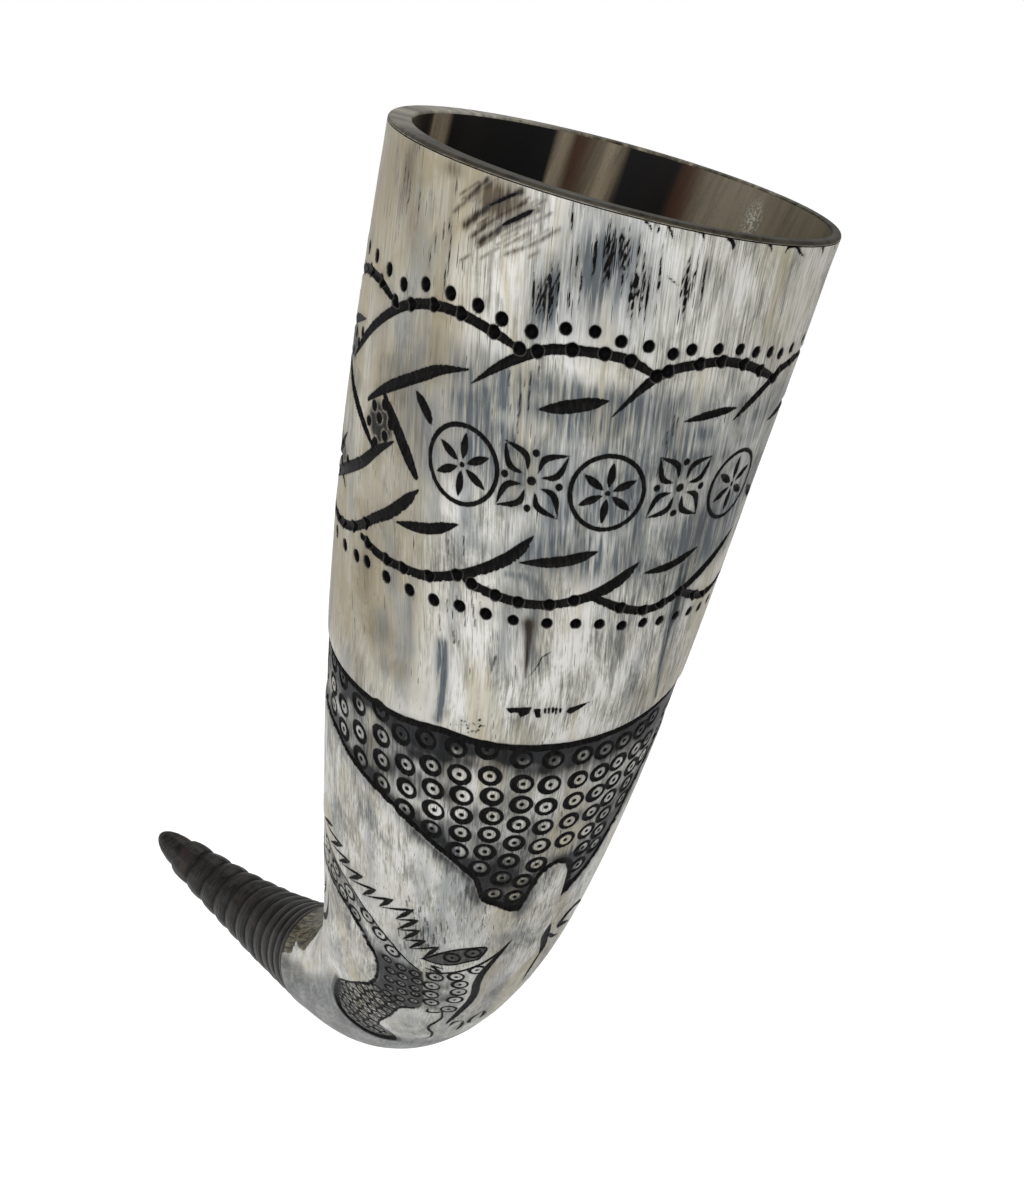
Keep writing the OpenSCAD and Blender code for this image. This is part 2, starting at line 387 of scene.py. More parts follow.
def curve_through(points, parts=6):
    """A smooth line through points, with some more points between each two."""
    points = [np.array(p, float) for p in points]
    ends = [2 * points[0] - points[1]] + points + [2 * points[-1] - points[-2]]
    line = []
    for a, b, c, d in zip(ends, ends[1:], ends[2:], ends[3:]):
        square, cube = 2 * a - 5 * b + 4 * c - d, 3 * b - a - 3 * c + d
        for t in np.arange(parts) / parts:
            line.append(0.5 * (2 * b + (c - a) * t + square * t**2 + cube * t**3))
    line.append(points[-1])
    return np.array(line)


def tapered(count, width, start=0.1, end=0.1, lead=0.25, tail=0.3):
    """Widths along a gouge cut: thin at its ends, full between."""
    t = np.linspace(0, 1, count)
    open_up = start + (1 - start) * np.sin(np.clip(t / lead, 0, 1) * math.pi / 2)
    close = end + (1 - end) * np.sin(np.clip((1 - t) / tail, 0, 1) * math.pi / 2)
    return width * np.minimum(open_up, close)


# The plait: overlapping arcs of the upper strand, each from its foot over its crown to its tapered end
UPPER_ARCS = [
    [(62, 23.4), (70, 21.6), (80, 20.6), (88.5, 20.8), (95.5, 21.4), (100, 22.6), (105.6, 25.4),
     (110, 27.7), (113.2, 29.6)],
    [(99.7, 23.2), (108, 21.3), (115, 20), (122.6, 19.5), (128.8, 20.1), (135, 21.2), (139.4, 23),
     (142.5, 25.2), (147.8, 30)],
    [(139.2, 22.7), (146.2, 21), (152.5, 20.7), (160, 21.2), (166, 22.2), (171.2, 24.2), (176.2, 26.7),
     (182.2, 30.6)],
    [(172, 23.2), (178.8, 22), (188, 21.2), (196.2, 21.7), (203.8, 23.4), (210.6, 26), (220, 30.8),
     (228, 35.8), (232.5, 38.8)],
    [(210.3, 24.4), (218.8, 23.1), (227.5, 23.2), (235, 24.4), (243, 26.4), (250, 29.5), (257, 33.4),
     (263, 37)],
]
LOWER_ARCS = [
    [(56, 57), (64, 60.5), (73, 63.2), (83, 65), (93, 66), (101, 65.8), (107.5, 64.2), (113.6, 62.4)],
    [(92.6, 53.4), (100, 56.9), (107.5, 59.8), (113.8, 62.1), (120, 63.8), (126.2, 64.4), (133.8, 63.4),
     (142.8, 61.2)],
    [(131.6, 54.6), (136.2, 57.9), (142, 60.6), (147.5, 62.1), (153.8, 63.4), (162, 63.9), (171, 63.4),
     (176.8, 62.6)],
    [(160.8, 51.6), (164.4, 55.2), (168.8, 57.9), (173.8, 60.2), (179.4, 62.3), (187.5, 64.6),
     (196.2, 65.6), (205.6, 66.1), (214, 65.6)],
    [(193.2, 50.8), (197.5, 54.2), (202.5, 57.5), (208.8, 60.6), (215, 63.8), (222, 66.4), (231, 68.3),
     (241, 69), (249, 68.4)],
]
# The same arcs at the back, where they repeat evenly
BACK_LOBE = 37
BACK_TURNS = [247 + BACK_LOBE * n for n in range(4)]
BACK_UPPER_SHAPE = [
    (0, 24.2), (8, 22.4), (16, 21.4), (24, 21), (31, 21.8), (37, 23.4), (43, 26.4), (50, 31), (57, 36),
]
BACK_LOWER_SHAPE = [
    (-16, 52), (-10, 56.4), (-4, 59.8), (3, 62.4), (11, 64.6), (20, 66), (29, 66.4), (38, 65.6),
]

UPPER_DOTS = [
    (85.6, 17.8), (94.7, 18.4), (100.9, 18.8), (106.2, 18.2), (112.1, 18), (118.1, 17.5), (124.8, 17.6),
    (132.1, 18), (136.6, 19), (142.9, 18.4), (149.5, 18.4), (155.8, 17.8), (162.4, 18.4), (169.9, 20.2),
    (177.4, 19.8), (183.8, 19.1), (191.7, 19), (199.7, 19.4), (207.7, 21.2), (215.1, 20.5), (223.9, 20.2),
    (232.8, 20.5),
]
LOWER_DOTS = [
    (92.6, 69.4), (99.4, 69.1), (105.8, 68.3), (112.6, 67.7), (119.1, 67.5), (125.3, 67.1), (132.2, 67.1),
    (139.1, 66.5), (145.8, 66.5), (153.6, 66.9), (162.6, 67.4), (170.1, 67.5), (177.5, 67.6), (185.1, 68.4),
    (193.1, 68.8), (201.8, 69.1), (210.6, 69.2), (216.3, 70.1), (224.5, 71), (233.5, 71.6),
]
DOT_D, BEAD_D = 2.0, 2.25
# Beads lie on the arcs outside these two stations, and so many degrees apart at least
BEADS_FROM, BEADS_TO, BEAD_GAP = 24.5, 61.8, 6.2
# Dots of each row at the back: how many, over which turns, and their middle stations
BACK_DOTS, BACK_DOTS_FROM, BACK_DOTS_SPAN = 27, 240, 200
UPPER_DOT_S, LOWER_DOT_S = 20.4, 70.4
# Greatest width of the strands, and how much wider than drawn the leaves are cut
STRAND_W, LEAF_GROWTH = 1.6, 1.12
# Gouged leaves inside the plait: points, then the greatest width
PLAIT_LEAVES = [
    ([(113.2, 27.4), (121, 28.2), (129, 29.5)], 1.3),
    ([(149.4, 27.6), (157, 29.4), (165, 31.2)], 1.9),
    ([(191.6, 39.4), (194.4, 37.4), (197.8, 35.5)], 1.6),
    ([(112.2, 53.4), (120.5, 55.8), (129.4, 56.8)], 1.5),
    ([(144, 52.7), (152, 55), (163.2, 56.7)], 1.8),
    ([(180.6, 53.5), (189, 56.4), (199.8, 58.3)], 1.7),
    ([(70, 31.6), (80, 30.2), (94.6, 31.6)], 2),
    ([(84, 48.4), (88, 47), (93, 44.7)], 1.7),
]


def carve_plait(skin):
    """The overlapping arcs of both strands, their beads and dots, and the leaves inside."""
    arcs = [(arc, True) for arc in UPPER_ARCS] + [(arc, False) for arc in LOWER_ARCS]
    arcs += [([(turn + x, s) for x, s in BACK_UPPER_SHAPE], True) for turn in BACK_TURNS]
    arcs += [([(turn + x, s) for x, s in BACK_LOWER_SHAPE], False) for turn in BACK_TURNS]
    for arc, upper in arcs:
        line = curve_through(arc)
        widths = tapered(len(line), STRAND_W, 0.55, 0.1, 0.15, 0.22)
        if not upper:
            share = np.linspace(0, 1, len(line))
            widths = tapered(len(line), STRAND_W + 0.1, 0.1, 0.7, 0.12, 0.1)
            widths = widths * (1 + 0.28 * np.exp(-(((share - 0.2) / 0.16) ** 2)))
        skin.groove(line, widths, saw=0.12 if upper else -0.26)
        last = None
        for turn, s in line[::2]:
            outside = s < BEADS_FROM if upper else s > BEADS_TO
            if outside and (last is None or turn - last > BEAD_GAP):
                skin.dot(turn, s, BEAD_D, True)
                last = turn
    for turn, s in UPPER_DOTS + LOWER_DOTS:
        skin.dot(turn, s, DOT_D + (0.25 if turn > 165 else 0), True)
    for n in range(BACK_DOTS):
        turn = BACK_DOTS_FROM + n * BACK_DOTS_SPAN / BACK_DOTS
        wave = math.cos(math.radians(turn - BACK_TURNS[0]) * 360 / BACK_LOBE)
        skin.dot(turn, UPPER_DOT_S + 0.9 * wave, DOT_D, True)
        skin.dot(turn + 2, LOWER_DOT_S - 0.7 * wave, DOT_D, True)
    for points, width in PLAIT_LEAVES:
        skin.gouge(points, LEAF_GROWTH * width, 0.14, 0.1, 0.35, 0.4, saw=0.16)


# Straps that cross where the two strands meet, and the dots in the gap that they leave
CROSSING_STRAPS = [
    ([(183.4, 28.7), (191, 30.5), (197, 32.9), (203.3, 35.5), (210.4, 38.6), (217.6, 42.2)], 1.95, 0.12,
     0.35),
    ([(194.7, 48.9), (198.2, 46.4), (201.7, 44), (205.6, 41.6), (209.3, 39.4)], 2.4, 0.5, 0.45),
    ([(211.9, 49), (220, 46.2), (229, 43.4), (236, 41.2), (243, 40.4), (252, 41.6)], 2.0, 0.4, 0.2),
    ([(203.7, 45.5), (210.6, 49), (217.5, 53.1), (229, 57.9), (240.3, 61.9), (247, 64)], 2.1, 0.15, 0.6),
    ([(225.6, 30.8), (236, 33), (246, 36.4), (254, 41)], 1.7, 0.1, 0.5),
    ([(228, 61), (236, 57.4), (244, 52), (252, 47.6)], 1.8, 0.2, 0.5),
]
CROSSING_DOTS = [
    (209, 40.8), (213.8, 42.2), (205.6, 43.2), (210.8, 43.5), (207.6, 45.7), (215.8, 45.4), (211.6, 47.9),
    (227.2, 33.4), (234, 35), (229.8, 35.8), (235.4, 38.4), (227.8, 56), (234, 54.8), (230.4, 58.4),
    (237, 57.6),
]
CROSSING_DOT_D, KNOT_DOT_D = 1.75, 1.7
BACK_KNOT_TURNS = [264 + BACK_LOBE * n for n in range(5)]
KNOT_STRAPS = [
    ([(-21, 30), (-12, 33.8), (-4, 38.4), (3, 43), (8, 47), (15, 51.4), (23, 55)], 2.0),
    ([(-21, 56), (-13, 52), (-7, 48.4), (-3, 45.6)], 2.2),
    ([(4, 40.4), (9, 37.4), (15, 33.6), (22, 29.6)], 2.2),
]
KNOT_DOTS = [
    (0, 38.6), (-3.6, 41.6), (3.6, 46.8), (0, 49.6), (-6.2, 44.4), (6.6, 43.4), (-2.4, 35.4), (2.6, 52.6),
]


def carve_crossings(skin):
    """The straps and dots where the two strands cross, in front and round the back."""
    for points, width, start, end in CROSSING_STRAPS:
        skin.gouge(points, width, start, end, 0.35, 0.4, saw=0.2)
    for turn, s in CROSSING_DOTS:
        skin.dot(turn, s, CROSSING_DOT_D)
    for middle in BACK_KNOT_TURNS:
        for points, width in KNOT_STRAPS:
            skin.gouge([(middle + x, s) for x, s in points], width, 0.1, 0.1, 0.3, 0.3)
        for x, s in KNOT_DOTS:
            skin.dot(middle + x, s, KNOT_DOT_D)


# Compass-drawn flowers and four-leaved knots in the quiet panel of the plait: turn, station, petals
PANEL_FLOWERS = [(104.6, 42.2, 6), (125, 41, 4), (144.6, 42.4, 6), (163.6, 42.6, 4), (181.6, 43.6, 6)]
# Radius of the ring round a flower, in millimetres
FLOWER_R = 6.3


def carve_flower(skin, turn, s, petals):
    """A six-petalled flower in a ring, or a knot of four split leaves."""
    radius = float(outer_radius(s))
    per_mm = math.degrees(1 / radius)
    start = 90 if petals == 6 else 45

    def at(angle, reach):
        a = math.radians(angle)
        return turn + per_mm * reach * math.cos(a), s + reach * math.sin(a)

    def leaf(points, width):
        skin.gouge(points, width, 0.02, 0.02, 0.5, 0.5)

    if petals == 6:
        ring = [at(a, FLOWER_R) for a in range(0, 361, 8)]
        skin.groove(ring, [0.75] * len(ring))
        for k in range(6):
            leaf([at(start + 60 * k, reach) for reach in (0.9, 3, 5.3)], 1.35)
        skin.dot(turn, s, 0.9)
    else:
        for k in range(4):
            angle = start + 90 * k
            leaf([at(angle - 16, 1.7), at(angle - 22, 4.4), at(angle, 7.6)], 1.05)
            leaf([at(angle + 16, 1.7), at(angle + 22, 4.4), at(angle, 7.6)], 1.05)
            skin.dot(*at(angle + 45, 4.6), 1.2)
        skin.dot(turn, s, 1.5)


# The collar of stamped rings: a sunk field with a black edge, which ends in two tongues above the beast
FIELD_TOP = [
    (40, 90), (60, 90), (80, 89.3), (100, 89.4), (120, 91), (140, 92.3), (160, 93.1), (170, 93.2),
    (180, 92.9), (195, 94.4), (220, 95.4), (240, 96), (270, 95.8), (300, 94.5), (340, 92), (380, 90.5),
    (430, 89.6),
]
FIELD_FOOT = [
    (430, 104), (380, 105), (340, 108), (300, 112), (265, 114.2), (240, 112.8), (228, 112.5),
    (218.8, 113.9), (200, 116.2), (190, 118.7), (180, 122.3), (172.5, 125.4), (165.6, 129.2),
    (163.2, 132.5), (161.2, 136), (155, 138.3), (149.4, 140.3), (145.6, 140), (143.1, 135), (140.9, 130.4),
    (138.6, 128), (134.4, 127), (131, 128), (129, 130.4), (128.4, 134), (128, 140), (126.6, 140.2),
    (121.2, 137.1), (113.8, 132.1), (107.5, 124.2), (100, 112.5), (93, 106), (80, 103), (60, 104),
    (40, 104.6),
]
# Columns of stamps: first turn and station, first gap, pitch, how many, and how they lean and curl aside
STAMP_COLUMNS = [
    (105.4, 94.3, 6.6, 5.2, 3, -1.5, 0), (111.2, 95.3, 5.7, 5.1, 5, -0.8, 0),
    (119, 95.8, 5.7, 5.15, 8, -0.3, 0), (126.7, 96.4, 5.9, 5.75, 8, -0.5, 0),
    (134.6, 96.3, 6.2, 5.7, 6, -0.2, 0), (144.4, 96.5, 6.3, 5.7, 6, -0.3, 0),
    (154.4, 96.4, 6.0, 5.3, 8, -1.65, 0.295), (165.2, 95.3, 5.9, 5.0, 7, -2.27, 0.322),
    (174.6, 96.5, 6.0, 4.9, 6, -2.12, 0.297), (184.4, 97.1, 5.6, 5.2, 5, -2.5, 0.4),
    (193.3, 98.9, 6.4, 5.4, 4, -2.64, 0.59), (201.6, 96.4, 5.8, 5.55, 4, -0.4, 0),
    (212.2, 99.4, 6.2, 5.8, 3, -0.7, 0), (222.4, 98, 6, 5.5, 3, -0.5, 0),
    (231.7, 98.3, 5.1, 4.7, 3, -0.5, 0), (243, 99.6, 5.4, 5, 3, 0, 0),
]
TONGUE_STAMPS = [(147.1, 130.3), (149, 135.5)]
# Width of a stamp, width of its line, and how far inside the ground's edge its middle lies at least
STAMP_D, STAMP_LINE, STAMP_ROOM = 4.7, 1.02, 1.6
BACK_COLUMNS, BACK_FROM, BACK_TO = 21, 253, 463


def signed_gap(skin, outline, reach=6):
    """Distance in millimetres to a closed outline of (turn, station) points, negative inside it."""
    turns, stations = zip(*outline)
    ends = (min(turns), max(turns)), (min(stations), max(stations))
    rows, columns, x, y, radius = skin.window(*ends, reach)
    gap = np.full((y.shape[0], x.shape[1]), 99.0)
    inside = np.zeros(gap.shape, bool)
    for a, b in zip(outline, outline[1:] + outline[:1]):
        _, beside, ax, dx, dy = line_gap(x, y, radius, a, b)
        gap = np.minimum(gap, beside)
        if dy:
            crosses = (y >= min(a[1], b[1])) & (y < max(a[1], b[1]))
            inside ^= crosses & (x < ax + (y - a[1]) / dy * dx)
    return rows, columns, np.where(inside, -gap, gap)


def smooth_outline(points, parts=4):
    """A closed outline through points, rounded, with the last joined to the first by a straight line."""
    return [tuple(p) for p in curve_through(points, parts)]


def carve_scales(skin):
    """The sunk ground of the collar and the black line round it."""
    outline = smooth_outline(FIELD_TOP, 3) + smooth_outline(FIELD_FOOT, 4)
    rows, columns, gap = signed_gap(skin, outline)
    skin.lower(skin.field, rows, columns, gap)
    field, s, turn = skin.field[rows], skin.s[rows][:, None], skin.turns[None, :]
    wide = 1.6 - 0.45 * smooth(100, 106, s) + 0.5 * smooth(138, 131, turn) * smooth(118, 126, s)
    wide = wide + 1.0 * smooth(134.5, 138, s)
    edge = np.abs(field + wide / 2) - wide / 2 + skin.wobble[rows] * 3
    skin.cut[rows] = np.minimum(skin.cut[rows], edge)


def carve_stamps(skin):
    """Rows of ring and dot stamps on the collar's ground."""
    rng = np.random.default_rng(41)
    places = []
    for turn, s, gap, pitch, count, lean, curl in STAMP_COLUMNS:
        for k in range(count):
            places.append((turn + lean * k + curl * k * k, s + (gap + pitch * (k - 1) if k else 0)))
    places += TONGUE_STAMPS
    for n in range(BACK_COLUMNS):
        turn = BACK_FROM + n * (BACK_TO - BACK_FROM) / BACK_COLUMNS
        for k in range(4):
            top = 97.2 + 5.5 * k + 0.9 * (n % 2)
            places.append((turn + rng.uniform(-0.8, 0.8), top + rng.uniform(-0.5, 0.5)))
    for turn, s in places:
        if skin.field[skin.at(turn, s)] < -STAMP_ROOM:
            stamp_ring(skin, turn, s, STAMP_D + rng.uniform(-0.15, 0.15), STAMP_LINE, rng)


def stamp_ring(skin, turn, s, width, line, rng):
    """A ring with a dot in it, punched a little deeper on one side, as a leaning punch leaves it."""
    rows, columns, x, y, radius = skin.window((turn,), (s,), width)
    dx, dy = x - math.radians(turn) * radius, y - s
    aside, low = (0.14 + rng.uniform(-0.26, 0.28)) * line, (0.08 + rng.uniform(-0.32, 0.32)) * line
    outer = np.hypot(dx, dy) - width / 2
    inner = np.hypot(dx + aside, dy + low) - (width / 2 - line + rng.uniform(-0.08, 0.08))
    ring = np.maximum(outer, -inner)
    dot = np.hypot(dx + aside / 2, dy + low / 2) - 0.1 * width
    skin.lower(skin.cut, rows, columns, np.minimum(ring, dot))
    skin.raise_to(skin.clean, rows, columns, smooth(0, -0.25, inner))


# The beast below: its saw-toothed crest, and the outline of its body with the shoulder and the foot
CREST_LEFT = [
    (175, 154.4), (180.4, 153.3), (182.9, 150.3), (183.8, 146.9), (185.8, 143.9), (194.6, 143.9),
    (202.5, 144.4), (209.2, 143.6), (217.1, 143.3), (222.1, 141.4), (230.8, 140.6),
]
CREST_RIGHT = [
    (181.2, 160.7), (187.7, 159), (190.4, 156.5), (192.7, 153.6), (193.5, 150.2), (201.2, 149.4),
    (210, 150.1), (218.3, 149.4), (225.8, 148.3), (233.8, 147.2), (243.3, 145.6),
]
WING = [
    (180.4, 166.9), (185.1, 165.1), (189.1, 163.1), (191.9, 161.5), (195.4, 159.5), (198.3, 158.1),
    (202, 156.4), (205.2, 154.9), (209.2, 153.6), (214.2, 151.8), (223.3, 150.2), (233.3, 148.9),
    (240, 147.2), (250, 147.4), (259, 150.5), (262, 155.5), (258, 160.5), (249, 162.4), (240, 161),
    (230.8, 160.4), (221.7, 160.8), (216.9, 161.8), (213.4, 163.4), (210.6, 164.8), (208.4, 166.8),
    (205.9, 168.7), (203.7, 170.6), (202.6, 173.8), (202.9, 177.6), (204.4, 181.4), (206.3, 184.4),
    (209.8, 187.6), (213, 189.7), (215.6, 192), (220.2, 195.9), (224.9, 199.3), (230.2, 204.3),
    (232.9, 212), (233, 220.4), (228.8, 224.6), (222, 225.8), (214.2, 225.4), (206.8, 225), (199.4, 223.7),
    (192.7, 221.6), (186.6, 218.4), (188.9, 213.8), (192.6, 211.5), (196.5, 209.9), (198.9, 208.6),
    (198.2, 205.2), (193.7, 198.4), (192.4, 195.2), (190.4, 191.9), (188.3, 189.6), (184.5, 188.2),
    (179.9, 186.2), (178.6, 181.6), (179, 176.6), (179.7, 172.2),
]
# Strap lines: points, greatest width, share of it at the start and the end
BEAST_LINES = [
    ([(146.2, 151.5), (149.4, 155.8), (153.1, 160.8), (155.9, 165.8), (156.9, 170.8), (156.6, 175.8),
      (157.8, 180.8), (160, 185), (162.5, 190), (164.4, 193.8), (165.4, 196.4)], 1.9, 0.1, 0.1),
    ([(146.9, 152), (150, 155.4), (154.4, 158.8), (158.8, 161.2), (163.1, 162.9), (168.8, 164.6),
      (175, 165.8), (179.4, 166.7)], 0.8, 0.2, 0.6),
    ([(172.5, 163.3), (176.9, 163.1), (173.8, 165), (180, 164.6)], 0.8, 0.3, 0.3),
    ([(169.4, 186.2), (168.8, 190.8), (170.6, 194.2), (173.4, 197.9), (173.1, 201.2), (170.6, 204.2),
      (170, 208.9), (174.2, 212.4)], 0.8, 0.5, 0.2),
    ([(169.4, 186.5), (172.5, 187.5), (176.2, 187.5), (176.2, 185.4)], 0.8, 0.4, 0.2),
    ([(106, 156.2), (110, 153.2), (114, 151.8), (118.4, 152.2), (121.2, 154), (121, 156), (117.6, 157.6),
      (112, 160.4)], 2.1, 0.2, 0.1),
    ([(127.4, 165), (128.6, 168.4), (129.4, 171.6), (130, 175.8), (130.2, 180.6)], 0.95, 0.8, 0.1),
    ([(127.2, 156.6), (125.6, 158), (122.8, 160.3), (118.5, 162.1)], 1.0, 0.8, 0.1),
    ([(147.5, 191), (145.9, 194.2), (146.9, 197.6)], 1.1, 0.3, 0.1),
    ([(148.8, 191.5), (152.5, 194.6), (152.8, 197.9), (151.2, 199.6)], 1.1, 0.3, 0.1),
    ([(156.9, 195.4), (156.2, 200), (157.5, 204.6)], 1.0, 0.4, 0.1),
    ([(157.5, 195), (161.2, 195), (163.1, 198.3)], 0.9, 0.4, 0.1),
    ([(243, 165), (247, 173), (255, 181), (265, 187), (277, 190), (288, 188), (295, 182)], 1.9, 0.1, 0.1),
    ([(240, 170), (243, 180), (250, 189), (262, 197), (277, 200), (291, 198), (300, 191)], 1.6, 0.1, 0.3),
    ([(268, 152), (278, 150), (289, 153), (296, 160), (299, 169), (297, 178)], 2.0, 0.1, 0.1),
    ([(272, 158), (281, 158), (288, 163), (290, 171), (286, 178), (277, 180), (270, 176)], 1.7, 0.1, 0.2),
    ([(66, 152), (72, 158), (76, 166), (77, 175), (74, 184), (67, 191)], 2.0, 0.1, 0.1),
    ([(82, 148), (88, 155), (91, 164), (91, 174), (88, 184), (82, 193), (74, 200)], 1.8, 0.1, 0.2),
    ([(96, 160), (101, 168), (103, 178), (101, 188), (96, 198)], 1.6, 0.1, 0.1),
    ([(104, 164), (112, 170), (117, 178), (118, 188), (114, 197)], 1.3, 0.1, 0.2),
]
# Filled gouge: an outline cut out whole
BEAST_FILL = [
    (128.5, 150.8), (129.8, 152.3), (130.9, 154.4), (131, 157.2), (129.8, 161), (128.6, 165),
    (127.2, 166.4), (126, 164.1), (126, 161.2), (126.8, 157.8), (127.3, 154.2),
]
# The long leaf at the beast's brow: its outline lies round a stained ground with two stamps
BROW = [
    (182.1, 161.1), (174.8, 156.8), (167.6, 154), (159, 152.8), (155.6, 153.6), (158.1, 158.1),
    (161, 158.9), (164.4, 159.9), (169.2, 161.3), (175.6, 161.8),
]
BROW_STAMPS = [(161.3, 155.5), (169.4, 157.9)]
BEAST_STAMPS = [
    (158.4, 163.1), (166.7, 166.5), (164.4, 170.2), (164.2, 174.4), (165, 178.8), (166.6, 184.8),
    (175.5, 167.7), (176.6, 172.4), (176.4, 176.9), (175.6, 181.4),
]
STRAP_STAMPS = [
    (194.8, 163.4), (201, 159.6), (207.6, 156.4), (218.4, 154.4), (229, 153), (239, 151.6), (249, 151.4),
    (257, 154.4), (215.1, 159.9), (223.2, 157.9), (231.8, 156.9), (241, 156.5), (250, 157),
]
# Widths of the three kinds of rings on the beast, and of their lines
BEAST_STAMP_D, STRAP_STAMP_D, LIMB_STAMP_D = 4.1, 4.2, 2.9
BEAST_STAMP_LINE, LIMB_STAMP_LINE = 0.62, 0.58
# How far inside the body's edge the middle of a small ring lies at least
LIMB_ROOM = 1.3
# Rows of small rings on the limb: first turn and station, step to the next, and how many
LIMB_ROWS = [
    (184, 168.6, 6.6, -0.4, 3), (183, 172.2, 6.4, 0.2, 4), (183.6, 175.9, 6.2, 0.4, 4),
    (183.4, 179.4, 6.2, 0.8, 4), (184, 183.2, 6.2, 1, 4), (190.4, 187.6, 6.2, 1, 4),
    (194.4, 191.2, 6, 1, 4), (196.6, 195.2, 6, 1.2, 5), (198.6, 199, 6.2, 1.4, 5),
    (201.8, 202.8, 6.2, 1.6, 5), (203, 206.8, 6.4, 1.4, 5), (203.4, 210.6, 6.4, 1, 5),
    (199, 213.8, 6.6, 1, 5), (194.4, 216.6, 7, 1, 5),
]


def crossbar(skin, a, b, shares, widths):
    """A straight cut at some shares of the way from a to b."""
    skin.groove([(a[0] + (b[0] - a[0]) * share, a[1] + (b[1] - a[1]) * share) for share in shares], widths)


def carve_beast(skin):
    """The beast: its crest, its gouged lines, its brow and its body with their stamps."""
    for left, right in zip(CREST_LEFT, CREST_RIGHT):
        crossbar(skin, left, right, (0, 0.12, 0.45, 0.8, 0.97), [0.15, 0.66, 1.1, 0.5, 0.02])
    for left, right in zip(CREST_LEFT, CREST_RIGHT[1:]):
        crossbar(skin, left, right, (-0.02, 0.2, 0.5, 0.94), [0.12, 0.74, 0.55, 0.02])
    for points, width, start, end in BEAST_LINES:
        skin.gouge(points, width, start, end, 0.4, 0.4)
    skin.fill(smooth_outline(BEAST_FILL + BEAST_FILL[:1], 3))
    rows, columns, gap = signed_gap(skin, smooth_outline(BROW + BROW[:1], 3), 3)
    skin.lower(skin.cut, rows, columns, np.abs(gap + 0.3) - 0.3)
    skin.raise_to(skin.soot_and_shade, rows, columns, 0.92 * smooth(0.1, -0.5, gap))
    carve_wing(skin)
    rng = np.random.default_rng(43)
    for turn, s in BEAST_STAMPS + BROW_STAMPS:
        stamp_ring(skin, turn, s, BEAST_STAMP_D, BEAST_STAMP_LINE, rng)
    for turn, s in STRAP_STAMPS:
        stamp_ring(skin, turn, s, STRAP_STAMP_D, BEAST_STAMP_LINE, rng)
    for turn, s, step, drop, count in LIMB_ROWS:
        for k in range(count):
            place = (turn + step * k + rng.uniform(-0.5, 0.5), s + drop * k + rng.uniform(-0.3, 0.3))
            if skin.wing[skin.at(*place)] < -LIMB_ROOM:
                width = LIMB_STAMP_D + 0.8 * float(smooth(185, 190, s)) + rng.uniform(-0.25, 0.25)
                stamp_ring(skin, *place, width, LIMB_STAMP_LINE, rng)


def carve_wing(skin):
    """The edge of the beast's body: ragged at its shoulder, heavy at its heel, open towards the brow."""
    rows, columns, gap = signed_gap(skin, smooth_outline(WING + WING[:1], 4), 4)
    skin.lower(skin.wing, rows, columns, gap)
    x = np.broadcast_to(skin.turns[columns][None, :], gap.shape)
    y = np.broadcast_to(skin.s[rows][:, None], gap.shape)
    ragged = smooth(200, 206, x) * smooth(158, 163, y) * smooth(192, 186, y)
    heel = np.maximum(smooth(225, 230, x) * smooth(203, 208, y), smooth(214, 218, y))
    open_side = smooth(183, 180.4, x) * smooth(165, 168, y) * smooth(189, 186, y)
    half = 0.32 + 0.34 * ragged + 1.3 * heel
    waver = skin.wobble[skin.block(rows, columns, gap)] * (2 + 5 * ragged)
    skin.lower(skin.cut, rows, columns, np.abs(gap + half) - half + waver + 2 * open_side)


# Clusters of splintered grain below the rim: turn, station, half width, half length, strength
SPLINTER_PATCHES = [
    (133.8, 7.5, 0.7, 3.6, 0.8), (137.4, 9, 1.3, 4.4, 0.85), (147, 10, 2.2, 4.8, 0.9),
    (155.6, 6, 2.3, 4.2, 1), (159.6, 7, 1.1, 3.8, 1), (168.4, 14.6, 1.7, 4.2, 1),
    (166.1, 3.4, 0.7, 2.2, 0.9), (163, 13.2, 1.2, 3.4, 0.75), (182, 5, 4, 3.4, 0.3),
    (191, 12, 3, 4.6, 0.45), (272, 8, 2, 5, 0.8), (301, 7, 2.4, 5, 0.9), (338, 8, 2, 5, 0.8),
    (20, 8, 2.4, 5, 0.8), (58, 9, 2, 5, 0.6),
]
# How far the splintered grain leans from the length of the horn, in degrees
SPLINTER_LEAN = 8
# Single splinters: turn and station of each end, and width
SPLINTERS = [
    ((166.6, 1.4), (165.6, 5.1), 0.45), ((172, 11.8), (170.1, 18.7), 0.5),
    ((169.9, 13.1), (168.8, 17.3), 0.4), ((168.2, 10.4), (166.3, 19.2), 0.55),
    ((166.3, 10.6), (165.4, 15.7), 0.4), ((163.5, 12), (162.5, 16.2), 0.34),
    ((160.1, 4.1), (158.8, 10.2), 0.6), ((158, 1.8), (156.3, 9), 0.5), ((156.8, 3), (155.2, 11.2), 0.5),
    ((155, 2.6), (153.4, 8.8), 0.45), ((153.8, 3.6), (152.8, 9.4), 0.4), ((149.6, 9), (148.4, 14.2), 0.4),
    ((148, 7), (146.8, 13), 0.4), ((146.9, 7), (145.4, 15.2), 0.45), ((145.2, 4.6), (144.2, 10.4), 0.36),
    ((139, 5), (136.9, 13), 0.46), ((138, 8.2), (136.2, 13.8), 0.36), ((134.6, 4), (133.8, 8), 0.4),
    ((134.2, 6.6), (133.2, 10.6), 0.5), ((130, 5.8), (129.4, 8.5), 0.3), ((142.8, 7.8), (139.7, 8.8), 0.3),
    ((272, 4), (271, 10), 0.5), ((301, 5), (300, 12), 0.5), ((340, 3), (339, 9), 0.5),
    ((20, 4), (19, 11), 0.5),
]
